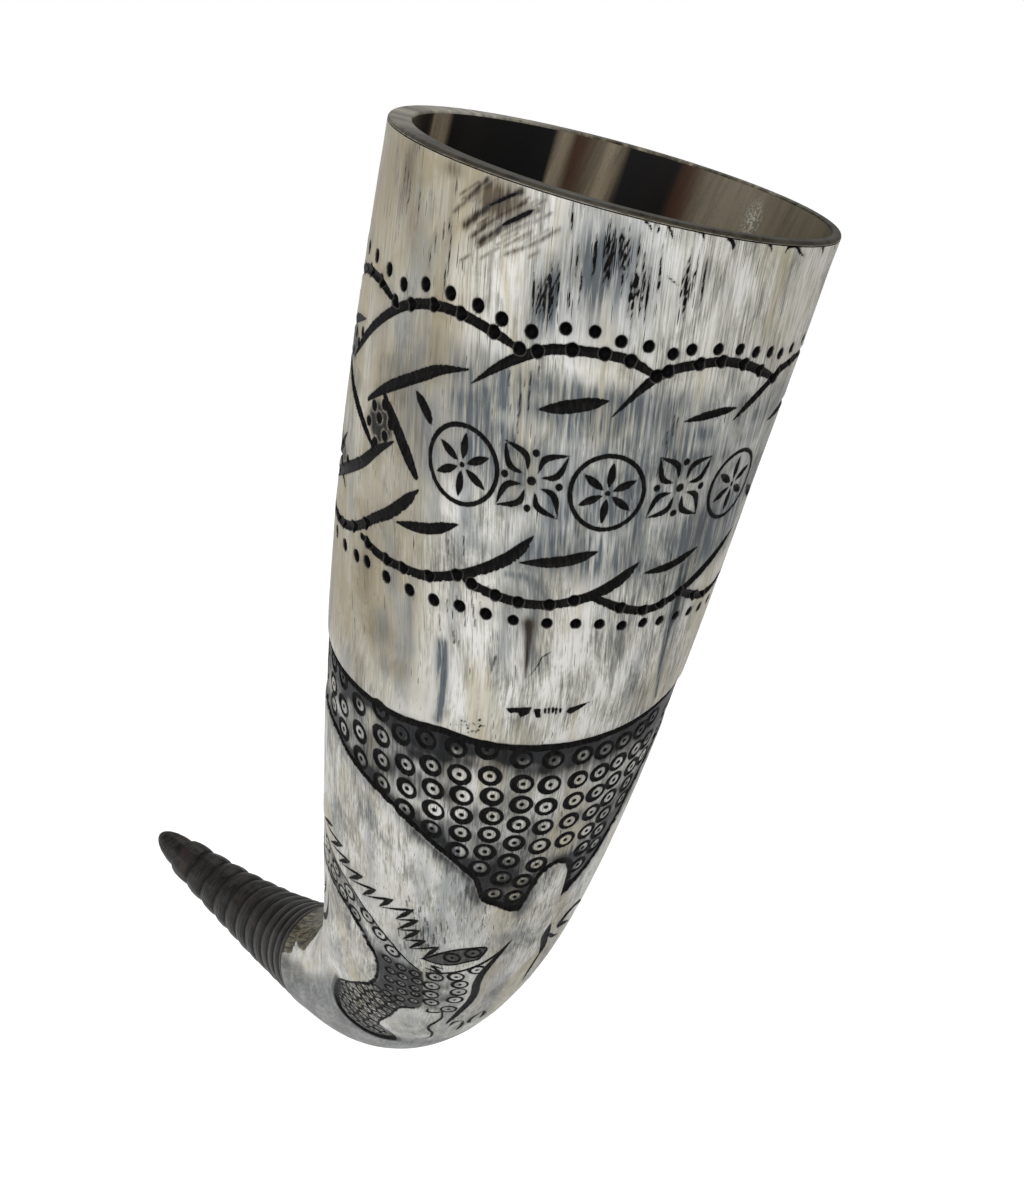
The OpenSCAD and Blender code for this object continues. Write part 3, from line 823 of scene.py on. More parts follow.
# Small curled chips at the edge of the rim
RIM_CHIPS = [
    ([(151, 0.9), (149.6, 1.3), (148.9, 2)], 0.3), ([(148.4, 0.8), (147.4, 1.5), (147.6, 2.2)], 0.28),
    ([(145.8, 0.8), (144.6, 1.4), (143.9, 2.4)], 0.35), ([(138.6, 0.9), (137.4, 0.8), (136.8, 1.7)], 0.35),
    ([(131.4, 0.8), (130, 1.1), (129.2, 1.6), (128.9, 2.5)], 0.6),
    ([(120.1, 0.8), (118.6, 1.1), (117.8, 2)], 0.34),
    ([(113.3, 1.9), (112.8, 1), (111, 0.75), (109.2, 0.9), (107.8, 1.7), (105.2, 2.3)], 0.5),
    ([(97.8, 0.8), (96.6, 1.3), (96.3, 2.2)], 0.45), ([(88, 0.8), (86.8, 1.4), (87, 2)], 0.4),
]
# Slanted brown strokes at the left of the lip: points, half width, strength
BROWN_STROKES = [
    ([(190.8, 8.8), (184.5, 4.4), (178.6, 1.7)], 0.8, 1),
    ([(186.3, 10.4), (180.4, 6.6), (175.6, 4)], 0.7, 0.95),
    ([(179.1, 10.6), (173.3, 8), (168.5, 5.1)], 0.42, 0.55), ([(191.8, 5.3), (187.3, 1.7)], 0.6, 0.85),
    ([(187.7, 6.4), (183.9, 3.9)], 0.6, 0.9), ([(183, 8.8), (177.6, 5.4), (173.6, 3.4)], 0.42, 0.65),
    ([(194.6, 7.6), (190.4, 4.6), (186, 2)], 0.5, 0.6),
    ([(188.6, 10), (182.4, 5.8), (177, 2.9)], 0.5, 0.85),
]
STROKE_CUTS = [([(181.6, 7), (177.6, 5), (174.8, 3.5)], 0.6), ([(185.6, 5), (181.4, 3), (178.8, 1.8)], 0.42)]
# Brown and blue-grey stains: turn, station, half width, half length, strength
BROWN_STAINS = [
    (183, 4, 4, 2.8, 1.5), (213, 5, 3, 6, 0.6), (208, 12, 2, 6, 0.4), (197, 2, 2.2, 1.4, 0.8),
    (225, 6, 8, 9, 0.35), (196, 9, 1.2, 11, 0.3), (128, 9, 5, 10, 0.14), (112, 40, 2, 40, 0.25),
    (152, 168, 3, 26, 0.3), (121, 176, 2, 22, 0.35), (300, 60, 9, 45, 0.35), (340, 190, 6, 36, 0.35),
    (30, 120, 7, 40, 0.35), (72, 240, 5, 30, 0.35), (203, 80, 5, 5, 0.5), (211, 72, 3, 8, 0.4),
    (196, 85, 3, 3, 0.35), (205, 34, 6, 9, 0.28), (213, 29, 3, 7, 0.3), (206, 60, 6, 7, 0.3),
    (199, 66, 1.2, 6, 0.35),
]
BLUE_STREAKS = [
    (167, 134, 4, 9, 0.7), (150, 150, 7, 3, 0.45), (110.5, 70, 0.9, 19, 0.8), (157, 64, 0.8, 14, 0.8),
    (165, 66, 0.9, 18, 0.55), (179, 62, 1.1, 20, 0.55), (123, 79, 1.1, 9, 0.5), (192, 75, 1.3, 14, 0.4),
    (148, 30, 0.8, 14, 0.35), (205, 130, 1.4, 18, 0.5), (183, 136, 1.8, 14, 0.5), (146, 180, 2.0, 24, 0.5),
    (120, 200, 2.0, 30, 0.5), (184, 200, 3.6, 12, 0.5), (158, 9, 7, 9, 1), (168, 15, 3.4, 7, 1),
    (147, 12, 5, 8, 0.35), (180, 152, 5, 9, 0.75), (170, 146, 8, 7, 0.4), (195, 42, 6, 9, 0.6),
    (260, 74, 2, 22, 0.6), (322, 140, 2.4, 30, 0.6), (15, 60, 2.4, 26, 0.6), (80, 130, 2, 26, 0.5),
    (160, 270, 20, 30, 0.4), (190, 244, 14, 14, 0.45), (204, 105, 9, 9, 0.5), (130, 100, 8, 8, 0.35),
]
# Streaks and smears: layer, points, half width at each end, strength
STREAKS = [
    ("brown", [(158.3, 67.5), (157.7, 70.3), (157.1, 78.2)], (1.2, 0.12), 1),
    ("soot_and_shade", [(158.3, 67.5), (157.7, 70.3), (157.2, 76)], (0.8, 0.1), 0.7),
    ("blue", [(115, 57.1), (113.9, 66), (113.5, 72.6), (112.5, 78.8), (109.5, 87.4)], (1.7, 0.3), 1.4),
    ("soot_and_shade", [(114.6, 60), (113.9, 66), (113.5, 72.6), (112.5, 78.8)], (1.1, 0.3), 0.75),
    ("soot_and_shade", [(166, 75.1), (166.6, 78.2)], (0.22, 0.1), 0.95),
    ("blue", [(181.4, 75.9), (180, 86.8), (181, 91.4)], (1.3, 1), 1.2),
    ("brown", [(201, 80.5), (200.6, 86)], (2.2, 1.8), 0.4),
    ("brown", [(212, 90), (212, 97)], (2.4, 2), 0.4),
    ("blue", [(165.6, 59.2), (159.9, 59.2), (155.2, 62.3)], (1.1, 1.1), 0.8),
    ("blue", [(161.6, 42), (156.8, 48.1), (153.3, 54.7)], (1.2, 0.8), 0.75),
    ("soot_and_shade", [(214, 224), (222, 228), (232, 226)], (1, 1), 0.5),
]
# No mark comes nearer to the rim than the first of these; the lip goes down to the second
EDGE_ROOM, LIP_L = 0.9, 20
# How many fine brown bristle marks lie among the slanted strokes, and specks above the collar
BRISTLES, SPECKS = 110, 26
# Turn and station of the middle of each
BRISTLE_PLACE, SPECK_PLACE = (181.4, 5.2), (170, 90.5)
# Groups of fine dark lengthwise lines: turn, station, spread in degrees and in millimetres, and how many
FINE_LINES = [
    (195, 13, 3.4, 2.6, 7), (212, 6, 3.2, 3.2, 8), (156, 7, 3.6, 2.6, 17), (147, 10, 3, 2.6, 12),
    (168, 14, 2, 2.2, 12), (138, 9, 1.4, 2, 6), (163, 13, 1.4, 2, 4), (170, 32, 2, 4, 10),
    (131, 33, 1.6, 3, 8), (181, 152, 6, 5, 60), (150, 118, 9, 8, 40), (120, 60, 4, 5, 12),
    (176, 66, 4, 4, 16),
]
# The scuff below the plait: filled scrapes with small dashes between
SCUFFS = [
    [(161.3, 85.1), (153.9, 84.2), (154.3, 85.6), (156.6, 86.6), (157.5, 85.7), (159.8, 86)],
    [(153.4, 84.6), (151.2, 84.4), (151, 86.4), (152.2, 86.4)],
    [(143.6, 85), (142, 85.6), (136.6, 83), (139, 83.4), (143, 84.2)],
]
SCUFF_DASHES = (150, 148.9, 147.8, 146.7, 145.5)
# A short crack in the waist, and its widths
CRACK = [(151.2, 72.4), (153.4, 73.6), (154, 75.2), (156, 77.8)]
CRACK_WIDTHS = [0.12, 0.2, 0.16, 0.05]
# Where the surface layer has torn away beside the tip
TORN_PATCH = [
    (283, 301), (285, 291.2), (297, 290.4), (289.6, 281.5), (287.8, 273.3), (292.7, 268.9), (296.6, 261),
    (312, 256), (330, 258), (346, 266), (352, 280), (356, 301),
]


def mark_surface(skin):
    """Wear and stains: splinters, chips, strokes, streaks, fine lines, scuffs and the torn patch."""
    rng = np.random.default_rng(17)
    for turn, s, wide, long, amount in SPLINTER_PATCHES:
        skin.patch(skin.splinter, turn, s, wide, long, amount, SPLINTER_LEAN)
    for a, b, width in SPLINTERS:
        middle = ((a[0] + b[0]) / 2, (a[1] + b[1]) / 2)
        skin.groove([a, middle, b], [0.03, 0.8 * width, 0.03])
    for points, width in RIM_CHIPS + STROKE_CUTS:
        skin.groove(curve_through(points, 3), tapered(3 * len(points) - 2, width, 0.3, 0.2))
    for points, width, amount in BROWN_STROKES:
        skin.stroke(skin.brown, curve_through(points, 3), width, amount)
        skin.stroke(skin.soot_and_shade, curve_through(points, 3), 0.5 * width, 0.8 * amount)
    for layer, points, width, amount in STREAKS:
        skin.stroke(getattr(skin, layer), curve_through(points, 3), width, amount)
    for outline in SCUFFS:
        skin.fill(outline)
    for turn in SCUFF_DASHES:
        s = rng.uniform(84, 84.5)
        skin.groove([(turn, s), (turn - 0.2, s + rng.uniform(0.7, 1.5))], [0.42, 0.3])
    for _ in range(BRISTLES):
        turn, s = BRISTLE_PLACE[0] + rng.normal() * 4.2, BRISTLE_PLACE[1] + rng.normal() * 2.3
        reach = rng.uniform(0.8, 2.4)
        if s - reach * 0.6 > EDGE_ROOM:
            ends = [(turn - 1.05 * reach, s - 0.62 * reach), (turn + 1.05 * reach, s + 0.62 * reach)]
            skin.stroke(skin.brown, ends, 0.26, rng.uniform(0.4, 0.95))
    for turn, s, wide, long, count in FINE_LINES:
        for _ in range(count):
            x, y, reach = turn + rng.normal() * wide, s + rng.normal() * long, rng.uniform(0.5, 1.6)
            reach = reach * 2 if s < LIP_L else reach
            ends = [(x + 0.2 * reach, y - reach), (x - 0.2 * reach, y + reach)]
            if y - reach <= EDGE_ROOM:
                continue
            if s < LIP_L:
                skin.groove([ends[0], (x, y), ends[1]], [0.02, rng.uniform(0.16, 0.29), 0.02])
            else:
                skin.stroke(skin.soot_and_shade, ends, 0.14, 0.93)
    for _ in range(SPECKS):
        turn, s = SPECK_PLACE[0] + rng.normal() * 2.2, SPECK_PLACE[1] + rng.normal() * 1.1
        skin.dot(turn, s, rng.uniform(0.15, 0.42))
    for turn, s, wide, long, amount in BROWN_STAINS:
        skin.patch(skin.brown, turn, s, wide, long, amount)
    for turn, s, wide, long, amount in BLUE_STREAKS:
        skin.patch(skin.blue, turn, s, wide, long, amount)
    skin.groove(CRACK, CRACK_WIDTHS)
    rows, columns, gap = signed_gap(skin, TORN_PATCH + TORN_PATCH[:1], 3)
    ragged = gap + 9 * skin.wobble[skin.block(rows, columns, gap)]
    skin.raise_to(skin.khaki, rows, columns, smooth(0.25, -0.25, ragged))
    skin.raise_to(skin.brown, rows, columns, 0.9 * smooth(0.5, 0, np.abs(ragged)))


# Where the painted shade on the underside of the bend starts: station and turn
BEND_SHADE_EDGE = [(205, 236), (212, 242), (229, 253), (255, 265), (267, 270), (276, 277), (294, 281), (300, 283)]


def mark_grounds(skin):
    """Stain in the sunk grounds and in the plait, painted shade on the underside of the bend, and the warmer
    sides of the horn.
    """
    turn, s = skin.turns[None, :], skin.s[:, None]
    blotch = wavy_field(skin.s, skin.radius, 7, 21)
    small = wavy_field(skin.s, skin.radius, 2.2, 22)
    for mark in (mark_collar, mark_body, mark_body_edges, mark_plait):
        mark(skin, turn, s, blotch, small)
    shade_bend_underside(skin, turn, s, blotch)
    left = smooth(172, 200, turn) * smooth(100, 84, s)
    right = smooth(122, 96, turn) * smooth(120, 90, s)
    skin.warm[:] = np.clip(1.05 * left + 0.4 * right + 0.35 * blotch, 0, 1)


def mark_collar(skin, turn, s, blotch, small):
    """The collar's ground: black along its edge, grey in the middle, with clean stamps."""
    near_edge = smooth(-5.2, -1.2, skin.field) * smooth(0.4, -0.2, skin.field)
    inside = smooth(0.3, -0.3, skin.field)
    side = np.maximum(smooth(165, 205, turn), smooth(128, 108, turn))
    skin.stain(skin.blue, inside * np.clip(0.26 + 0.5 * blotch - 0.25 * skin.clean, 0, 0.9))
    low_left = smooth(112, 132, s) * smooth(176, 150, turn)
    pale = smooth(118, 128, turn) * smooth(178, 160, turn) * smooth(99, 103, s) * smooth(128, 118, s)
    top = smooth(101.5, 96.5, s)
    amount = 0.5 + 0.48 * near_edge + 0.26 * side + 0.26 * low_left + 0.42 * top - 0.5 * pale
    amount = amount + 0.4 * blotch + 0.34 * small - 0.3 * skin.clean
    skin.stain(skin.soot_and_shade, inside * np.clip(amount, 0, 0.98))


def mark_body(skin, turn, s, blotch, small):
    """The beast's body: black at its shoulder and heel, brown and grey between."""
    on_wing = smooth(0.2, -0.4, skin.wing)
    shoulder = smooth(207, 200, turn) * smooth(164, 168, s) * smooth(192, 187, s)
    along_left = smooth(3.2, 1, np.abs(skin.wing + 0.6)) * smooth(202, 206, turn) * smooth(186, 180, s)
    amount = 0.25 + 0.74 * shoulder + 0.38 * smooth(184, 192, s) + 0.6 * along_left
    amount = amount + (0.22 * blotch + 0.24 * small) * (1 - 0.7 * shoulder) - 0.3 * skin.clean
    skin.stain(skin.soot_and_shade, on_wing * np.clip(amount, 0, 0.975))
    skin.stain(skin.brown, on_wing * smooth(190, 196, s) * 0.35)


def mark_body_edges(skin, turn, s, blotch, small):
    """Darkening round the heel and beside the limb, and in the corner below the collar."""
    heel = np.maximum(smooth(220, 227, turn) * smooth(200, 205, s), smooth(211, 216, s))
    skin.stain(skin.soot_and_shade, heel * 0.97 * smooth(2.4, 0.9, np.abs(skin.wing + 0.3)))
    under = smooth(183, 178, turn) * smooth(160, 164, turn) * smooth(164, 167, s) * smooth(188, 184, s)
    skin.stain(skin.soot_and_shade, under * np.clip(0.45 + 0.36 * small - 0.3 * skin.clean, 0, 0.8))
    corner = smooth(158, 163, turn) * smooth(200, 178, turn) * smooth(4.5, 0.2, skin.field + 1.4 * small)
    skin.stain(skin.soot_and_shade, 0.8 * corner * smooth(-0.2, 0.3, skin.field) * smooth(110, 120, s))
    smudge = smooth(3.4, 0, skin.field) * smooth(-0.2, 0.4, skin.field) * smooth(104, 112, s)
    skin.stain(skin.blue, smudge * np.clip(0.5 + 0.7 * blotch, 0, 0.8))


def mark_plait(skin, turn, s, blotch, small):
    """The blue-grey panel, and the black between the crossing straps."""
    net = np.exp(-(((skin.cut - 0.24) / 0.11) ** 2))
    skin.stain(skin.soot_and_shade, knot_ground(skin) * np.clip(0.96 - 0.45 * net + 0.03 * small, 0, 0.98))
    panel = smooth(22, 28, s) * smooth(62, 54, s)
    across = 0.16 * smooth(170, 140, turn) - 0.45 * smooth(176, 196, turn)
    skin.stain(skin.blue, panel * np.clip(0.63 + across + 0.5 * blotch + 0.22 * small, 0, 0.9))


def shade_bend_underside(skin, turn, s, blotch):
    """Painted shade on the lower side of the bend, over the horn's own grey there: blue-grey and darker."""
    shade_from = np.interp(s, *zip(*BEND_SHADE_EDGE))
    grey = smooth(4, -7, turn - shade_from) * smooth(206, 218, s) * smooth(120, 150, turn)
    skin.stain(skin.blue, grey * (0.72 + 0.12 * blotch))
    skin.stain(skin.soot_and_shade, grey * 0.34)


# Dark grounds between the straps where the strands cross: turn, station, half width, half length
KNOT_GROUNDS = [(210.4, 44.2, 4.2, 3.6), (235.5, 36.6, 4, 3.2), (234.4, 57.2, 4.2, 3.6)]


def knot_ground(skin):
    """Where the ground is black between crossing straps, 0 to 1."""
    dark = np.zeros(skin.cut.shape)
    for turn, s, wide, long in KNOT_GROUNDS + [(middle, 44, 4.4, 6) for middle in BACK_KNOT_TURNS]:
        skin.patch(dark, turn, s, wide, long, 1)
    return smooth(0.25, 0.6, dark)


# Depths in millimetres, and how far the skin lies below its own radius
SKIN_GAP = 0.02
GROOVE_DEPTH, PIT_DEPTH, FIELD_DEPTH, WING_DEPTH, TORN_DEPTH = 0.62, 0.5, 0.36, 0.16, 0.3


def relief(skin):
    """Outer radius in millimetres at each place of the skin, with everything carved into it."""
    groove = GROOVE_DEPTH * np.tanh(1.5 * np.maximum(-skin.cut, 0))
    pit = PIT_DEPTH * np.tanh(1.8 * np.maximum(-skin.pit, 0))
    sunk = FIELD_DEPTH * smooth(0.5, -0.4, skin.field) + WING_DEPTH * smooth(0.4, -0.4, skin.wing)
    torn = TORN_DEPTH * smooth(0.1, 0.9, skin.khaki)
    burr = 0.05 * np.exp(-((skin.cut - 0.16) / 0.14) ** 2)
    slow = 0.1 * wavy_field(skin.s, skin.radius, 22, 31) + 0.035 * wavy_field(skin.s, skin.radius, 7, 32)
    ends = smooth(0.7, 6, skin.s)[:, None] * smooth(SHELL_L, SHELL_L - 8, skin.s)[:, None]
    level = skin.radius[:, None] - 0.16 * ends
    return level - groove - pit - sunk - torn + burr + slow * ends - SKIN_GAP


# Degrees that the grain turns round the horn for each millimetre from the rim
GRAIN_TWIST = 0.2


def flat_places(s, radius, turns):
    """Places on the unbent horn in metres, the same all along, so that the shader's grain runs lengthwise."""
    angle = np.radians(turns[None, :] + GRAIN_TWIST * np.minimum(s, 80)[:, None])
    r = np.broadcast_to(np.asarray(radius)[:, None], (len(s), len(turns)))
    return np.stack([r * np.cos(angle), r * np.sin(angle), np.broadcast_to(s[:, None], r.shape)], -1) * MM


def carved_skin():
    """The whole outer skin with its carving and its paint."""
    skin = Skin()
    carve_plait(skin)
    carve_crossings(skin)
    for turn, s, petals in PANEL_FLOWERS:
        carve_flower(skin, turn, s, petals)
    carve_scales(skin)
    carve_stamps(skin)
    carve_beast(skin)
    mark_surface(skin)
    mark_grounds(skin)
    return skin


def build_skin(material):
    """Slices the skin into its named bands."""
    skin = carved_skin()
    points = spine_at(skin.s)[:, None] + relief(skin)[..., None] * outward(skin.s, skin.turns)
    normals = grid_normals(points)
    normals[0] = outward(skin.s[:1], skin.turns)[0]
    tone = np.stack([skin.brown, skin.blue, skin.soot_and_shade], -1)
    marks = np.stack([skin.splinter, skin.warm, skin.khaki], -1)
    flat = flat_places(skin.s, skin.radius, skin.turns)
    for name, start, end, _ in SKIN_BANDS:
        first, last = np.searchsorted(skin.s, start - 1e-6), np.searchsorted(skin.s, end + 1e-6)
        part = slice(first, last)
        layers = {"cut": skin.cut, "pit": skin.pit, "tone": tone, "marks": marks, "flat": flat}
        attributes = {key: values[part] for key, values in layers.items()}
        mesh = grid_mesh(name, points[part], normals[part], attributes, cap_end=end == SHELL_L)
        add_piece(name, mesh, "horn_shell", material)
    return skin, points


# Radii of the rim's two rounded edges, the coat's thickness and how far the coat lies in the wall
RIM_ROUND_OUT, RIM_ROUND_IN, COAT, COAT_LAP = 0.7, 0.5, 0.3, 0.02
RIM_TOP = 0.03
RIM_SHARES = (0.06, 0.12, 0.2, 0.3, 0.4, 0.5, 0.6, 0.7, 0.8, 0.9, 0.96)


def round_over(top, edge, out, up):
    """Points on a rounded edge from the flat top to the edge below it; out and up are its cosine and sine."""
    axis = directions(np.array([0.0]))[0][0]
    rise = (edge - top) @ axis
    return top + (edge - top) * out - axis * (rise * out)[:, None] + axis * (rise * (1 - up))[:, None]


def build_rim(skin, points, material):
    """The flat polished edge: rounded over outside, flat across, rounded over into the hollow."""
    turns = skin.turns
    outer = points[0]
    s_in, s_top = np.array([RIM_ROUND_IN]), np.array([RIM_TOP])
    inner = round_points(hollow_centre(s_in), s_in, hollow_radius(s_in) - COAT + COAT_LAP, turns)[0]
    top_out = round_points(spine_at(s_top), s_top, skin.radius[:1] - SKIN_GAP - RIM_ROUND_OUT, turns)[0]
    coat = hollow_radius(s_top) - COAT + COAT_LAP
    top_in = round_points(hollow_centre(s_top), s_top, coat + RIM_ROUND_IN, turns)[0]
    rows = []
    for a in np.radians(np.linspace(0, 90, 8)):
        rows.append(round_over(top_out, outer, math.cos(a), math.sin(a)))
    for share in RIM_SHARES:
        rows.append(top_out + (top_in - top_out) * share)
    for a in np.radians(np.linspace(0, 90, 7)):
        rows.append(round_over(top_in, inner, math.sin(a), math.cos(a)))
    grid = np.array(rows)[::-1]
    count = len(grid)
    width = np.linspace(1, 0, count)[:, None]
    wave = 0.5 + 0.5 * wavy_field(np.linspace(0, 8, count), np.full(count, 38.0), 5, 61)
    edge_line = np.exp(-(((width - 0.05) / 0.05) ** 2)) * (0.7 + 0.3 * wave)
    pale_side = smooth(195, 240, turns) * smooth(330, 290, turns)
    worn = smooth(0.0, 0.06, width) * (1 - 0.35 * pale_side[None, :])
    still = np.zeros(grid.shape[:2])
    # Painted shade: the near side of the rim's flat top is darkened
    near_side_shade = 0.62 * smooth(250, 205, turns) * smooth(20, 60, turns) * smooth(0.02, 0.1, width)
    tone = np.stack([np.clip(edge_line, 0, 1), still, np.maximum(0.6 * edge_line, near_side_shade)], -1)
    marks = np.stack([still, still + 0.4, worn * (0.88 + 0.12 * wave)], -1)
    angle = np.radians(turns)
    flat = np.stack([still + np.cos(angle) * 12, still + np.sin(angle) * 12,
                     np.broadcast_to(np.linspace(0, 4, count)[:, None], still.shape)], -1) * MM
    cut = np.full(still.shape, 3.0)
    attributes = {"cut": cut, "pit": cut, "tone": tone, "marks": marks, "flat": flat}
    mesh = grid_mesh("horn_rim", grid, grid_normals(grid), attributes)
    add_piece("horn_rim", mesh, "horn_shell", material)


# Lengthwise bands of colour inside the hollow: turn of each, and its tan, red and grey shares
HOLLOW_BANDS = [
    (248, 0.35, 0, 0.3), (262, 0.03, 0, 0.1), (267.4, 0.03, 0, 0), (269, 0.95, 0.1, 0.3),
    (276.6, 0.85, 0.1, 0.4), (279, 0, 0, 0), (317.6, 0, 0, 0), (319.4, 0.8, 0, 0.7), (323, 0.7, 0.3, 0.4),
    (324.6, 0.25, 0.85, 0), (327, 0.3, 0.8, 0), (330, 0.45, 0.4, 0.3), (334.6, 0.9, 0, 0.5),
    (337, 0.6, 0, 0.3), (340, 0, 0, 0), (355.6, 0, 0.05, 0), (358, 0.1, 0.95, 0), (362.6, 0.4, 0.6, 0.2),
    (366.6, 0.62, 0.1, 0.7), (380, 0.75, 0, 0.9), (396, 0.6, 0.05, 0.7), (412, 0.72, 0, 0.85),
    (436, 0.5, 0.1, 0.4), (452, 0.9, 0, 0.3), (470, 0.2, 0.3, 0), (492, 0.7, 0, 0.6), (520, 0.3, 0, 0.3),
    (546, 0.8, 0.1, 0.5), (572, 0.5, 0, 0.8), (596, 0.2, 0, 0.2),
]
# The white scuff just inside the mouth: its turn and station, and the hollow's radius there
SCUFF_TURN, SCUFF_S, MOUTH_R = 384.6, 6.5, 38


def build_lining(material):
    """The coat of the hollow, with a rounded foot and bands of colour."""
    turns = np.arange(LINING_COLUMNS) * 360 / LINING_COLUMNS
    side = np.linspace(RIM_ROUND_IN, HOLLOW_L - HOLLOW_NOSE, 130)
    angles = np.radians(np.linspace(2, 88, 26))
    nose = HOLLOW_L - HOLLOW_NOSE + (HOLLOW_NOSE - COAT) * np.sin(angles)
    s = np.concatenate([side, nose])
    taper = np.concatenate([np.ones(len(side)), np.cos(angles)])
    points = round_points(hollow_centre(s), s, (hollow_radius(s) - COAT + COAT_LAP) * taper, turns)
    wave = wavy_cells(len(s), len(turns), 9, 71)
    bands = np.array(HOLLOW_BANDS + [(HOLLOW_BANDS[0][0] + 360, *HOLLOW_BANDS[0][1:])], float)
    shift = turns[None, :] + 2.2 * wave + 4 * np.sin(s / 60)[:, None]
    place = (shift - bands[0, 0]) % 360 + bands[0, 0]
    tone = np.stack([np.interp(place, bands[:, 0], bands[:, k]) for k in (1, 2, 3)], -1)
    flat = flat_places(s, outer_radius(s), turns)
    normals = -grid_normals(points)
    across = np.radians((turns[None, :] - SCUFF_TURN + 180) % 360 - 180) * MOUTH_R
    scuff = np.exp(-((across / 1.8) ** 2 + ((s[:, None] - SCUFF_S) / 3.2) ** 2))
    attributes = {"tone": tone, "scuff": scuff, "flat": flat}
    mesh = grid_mesh("hollow_lining", points, normals, attributes, flip=True, cap_end=True)
    add_piece("hollow_lining", mesh, "bowl_lining", material)


def ring_drop(s):
    """At station s of the tip: how far it is cut in, in millimetres, and how near a crease is, 0 to 1."""
    rings_l = TIP_L - TIP_NOSE
    growth = 2 * (rings_l - RING_COUNT * ROOT_RING_L) / (RING_COUNT * (RING_COUNT - 1))
    n = np.arange(RING_COUNT + 1)
    crease = SHELL_L + ROOT_RING_L * n + growth * n * (n - 1) / 2
    ring = np.clip(np.searchsorted(crease, s, side="right") - 1, 0, RING_COUNT)
    length = np.where(ring < RING_COUNT, ROOT_RING_L + ring * growth, 1e9)
    share = np.clip((s - crease[ring]) / length, 0, 1)
    from_crown = np.abs(2 * share - 1)
    drop = RING_DEPTH * (1 - np.sqrt(np.maximum(1 - (2 * share - 1) ** 2, 0)))
    return np.where(ring < RING_COUNT, drop, 0), np.where(ring < RING_COUNT, from_crown**2.2, 0)


# Row spacing along the tip, and how far its nose and its body lie inside the solid, in millimetres
TIP_ROW, NOSE_INSET, BODY_INSET = 0.22, 0.15, 0.26


def noise_along(s, step, over, rng):
    """Seeded noise along the tip, with a new value every step."""
    places = np.arange(SHELL_L, HORN_L + over, step)
    return np.interp(s, places, rng.standard_normal(len(places)))


def build_tip(material):
    """The tip with its graded rings and blunt nose, with fine scratches round it."""
    turns = np.arange(TIP_COLUMNS) * 360 / TIP_COLUMNS
    nose_base = HORN_L - TIP_NOSE
    side = np.arange(SHELL_L + 0.02, nose_base, TIP_ROW)
    angles = np.radians(np.linspace(0, 88, 44))
    s = np.concatenate([side, nose_base + (TIP_NOSE - NOSE_INSET) * np.sin(angles)])
    drop, crease = ring_drop(s)
    along = np.concatenate([np.zeros(len(side)), angles])
    base = outer_radius(s) - SKIN_INSET
    nose = (base - RING_DEPTH * (1 - np.sin(along))) * np.cos(along)
    radius = np.where(s < nose_base, base - drop, nose)
    s = np.minimum(s, HORN_L - 0.2)
    rng = np.random.default_rng(83)
    fine = noise_along(s, 0.45, 1, rng)
    medium = noise_along(s, 1.3, 2, rng)
    wave = wavy_cells(len(s), len(turns), 18, 84)
    rough = (0.035 * fine + 0.03 * medium)[:, None] * (0.7 + 0.5 * wave) + 0.1 * wave
    rough = np.minimum(rough, 0.1)
    inset = (BODY_INSET - rough) * np.cos(along)[:, None] + 0.16 * np.sin(2 * along)[:, None]
    body = radius[:, None] - inset
    points = spine_at(s)[:, None] + body[..., None] * outward(s, turns)
    flat = flat_places(s, outer_radius(s), turns)
    attributes = {"crease": np.broadcast_to(crease[:, None], body.shape), "flat": flat}
    mesh = grid_mesh("ringed_end", points, grid_normals(points), attributes, cap_end=True)
    add_piece("ringed_end", mesh, "ringed_tip", material)


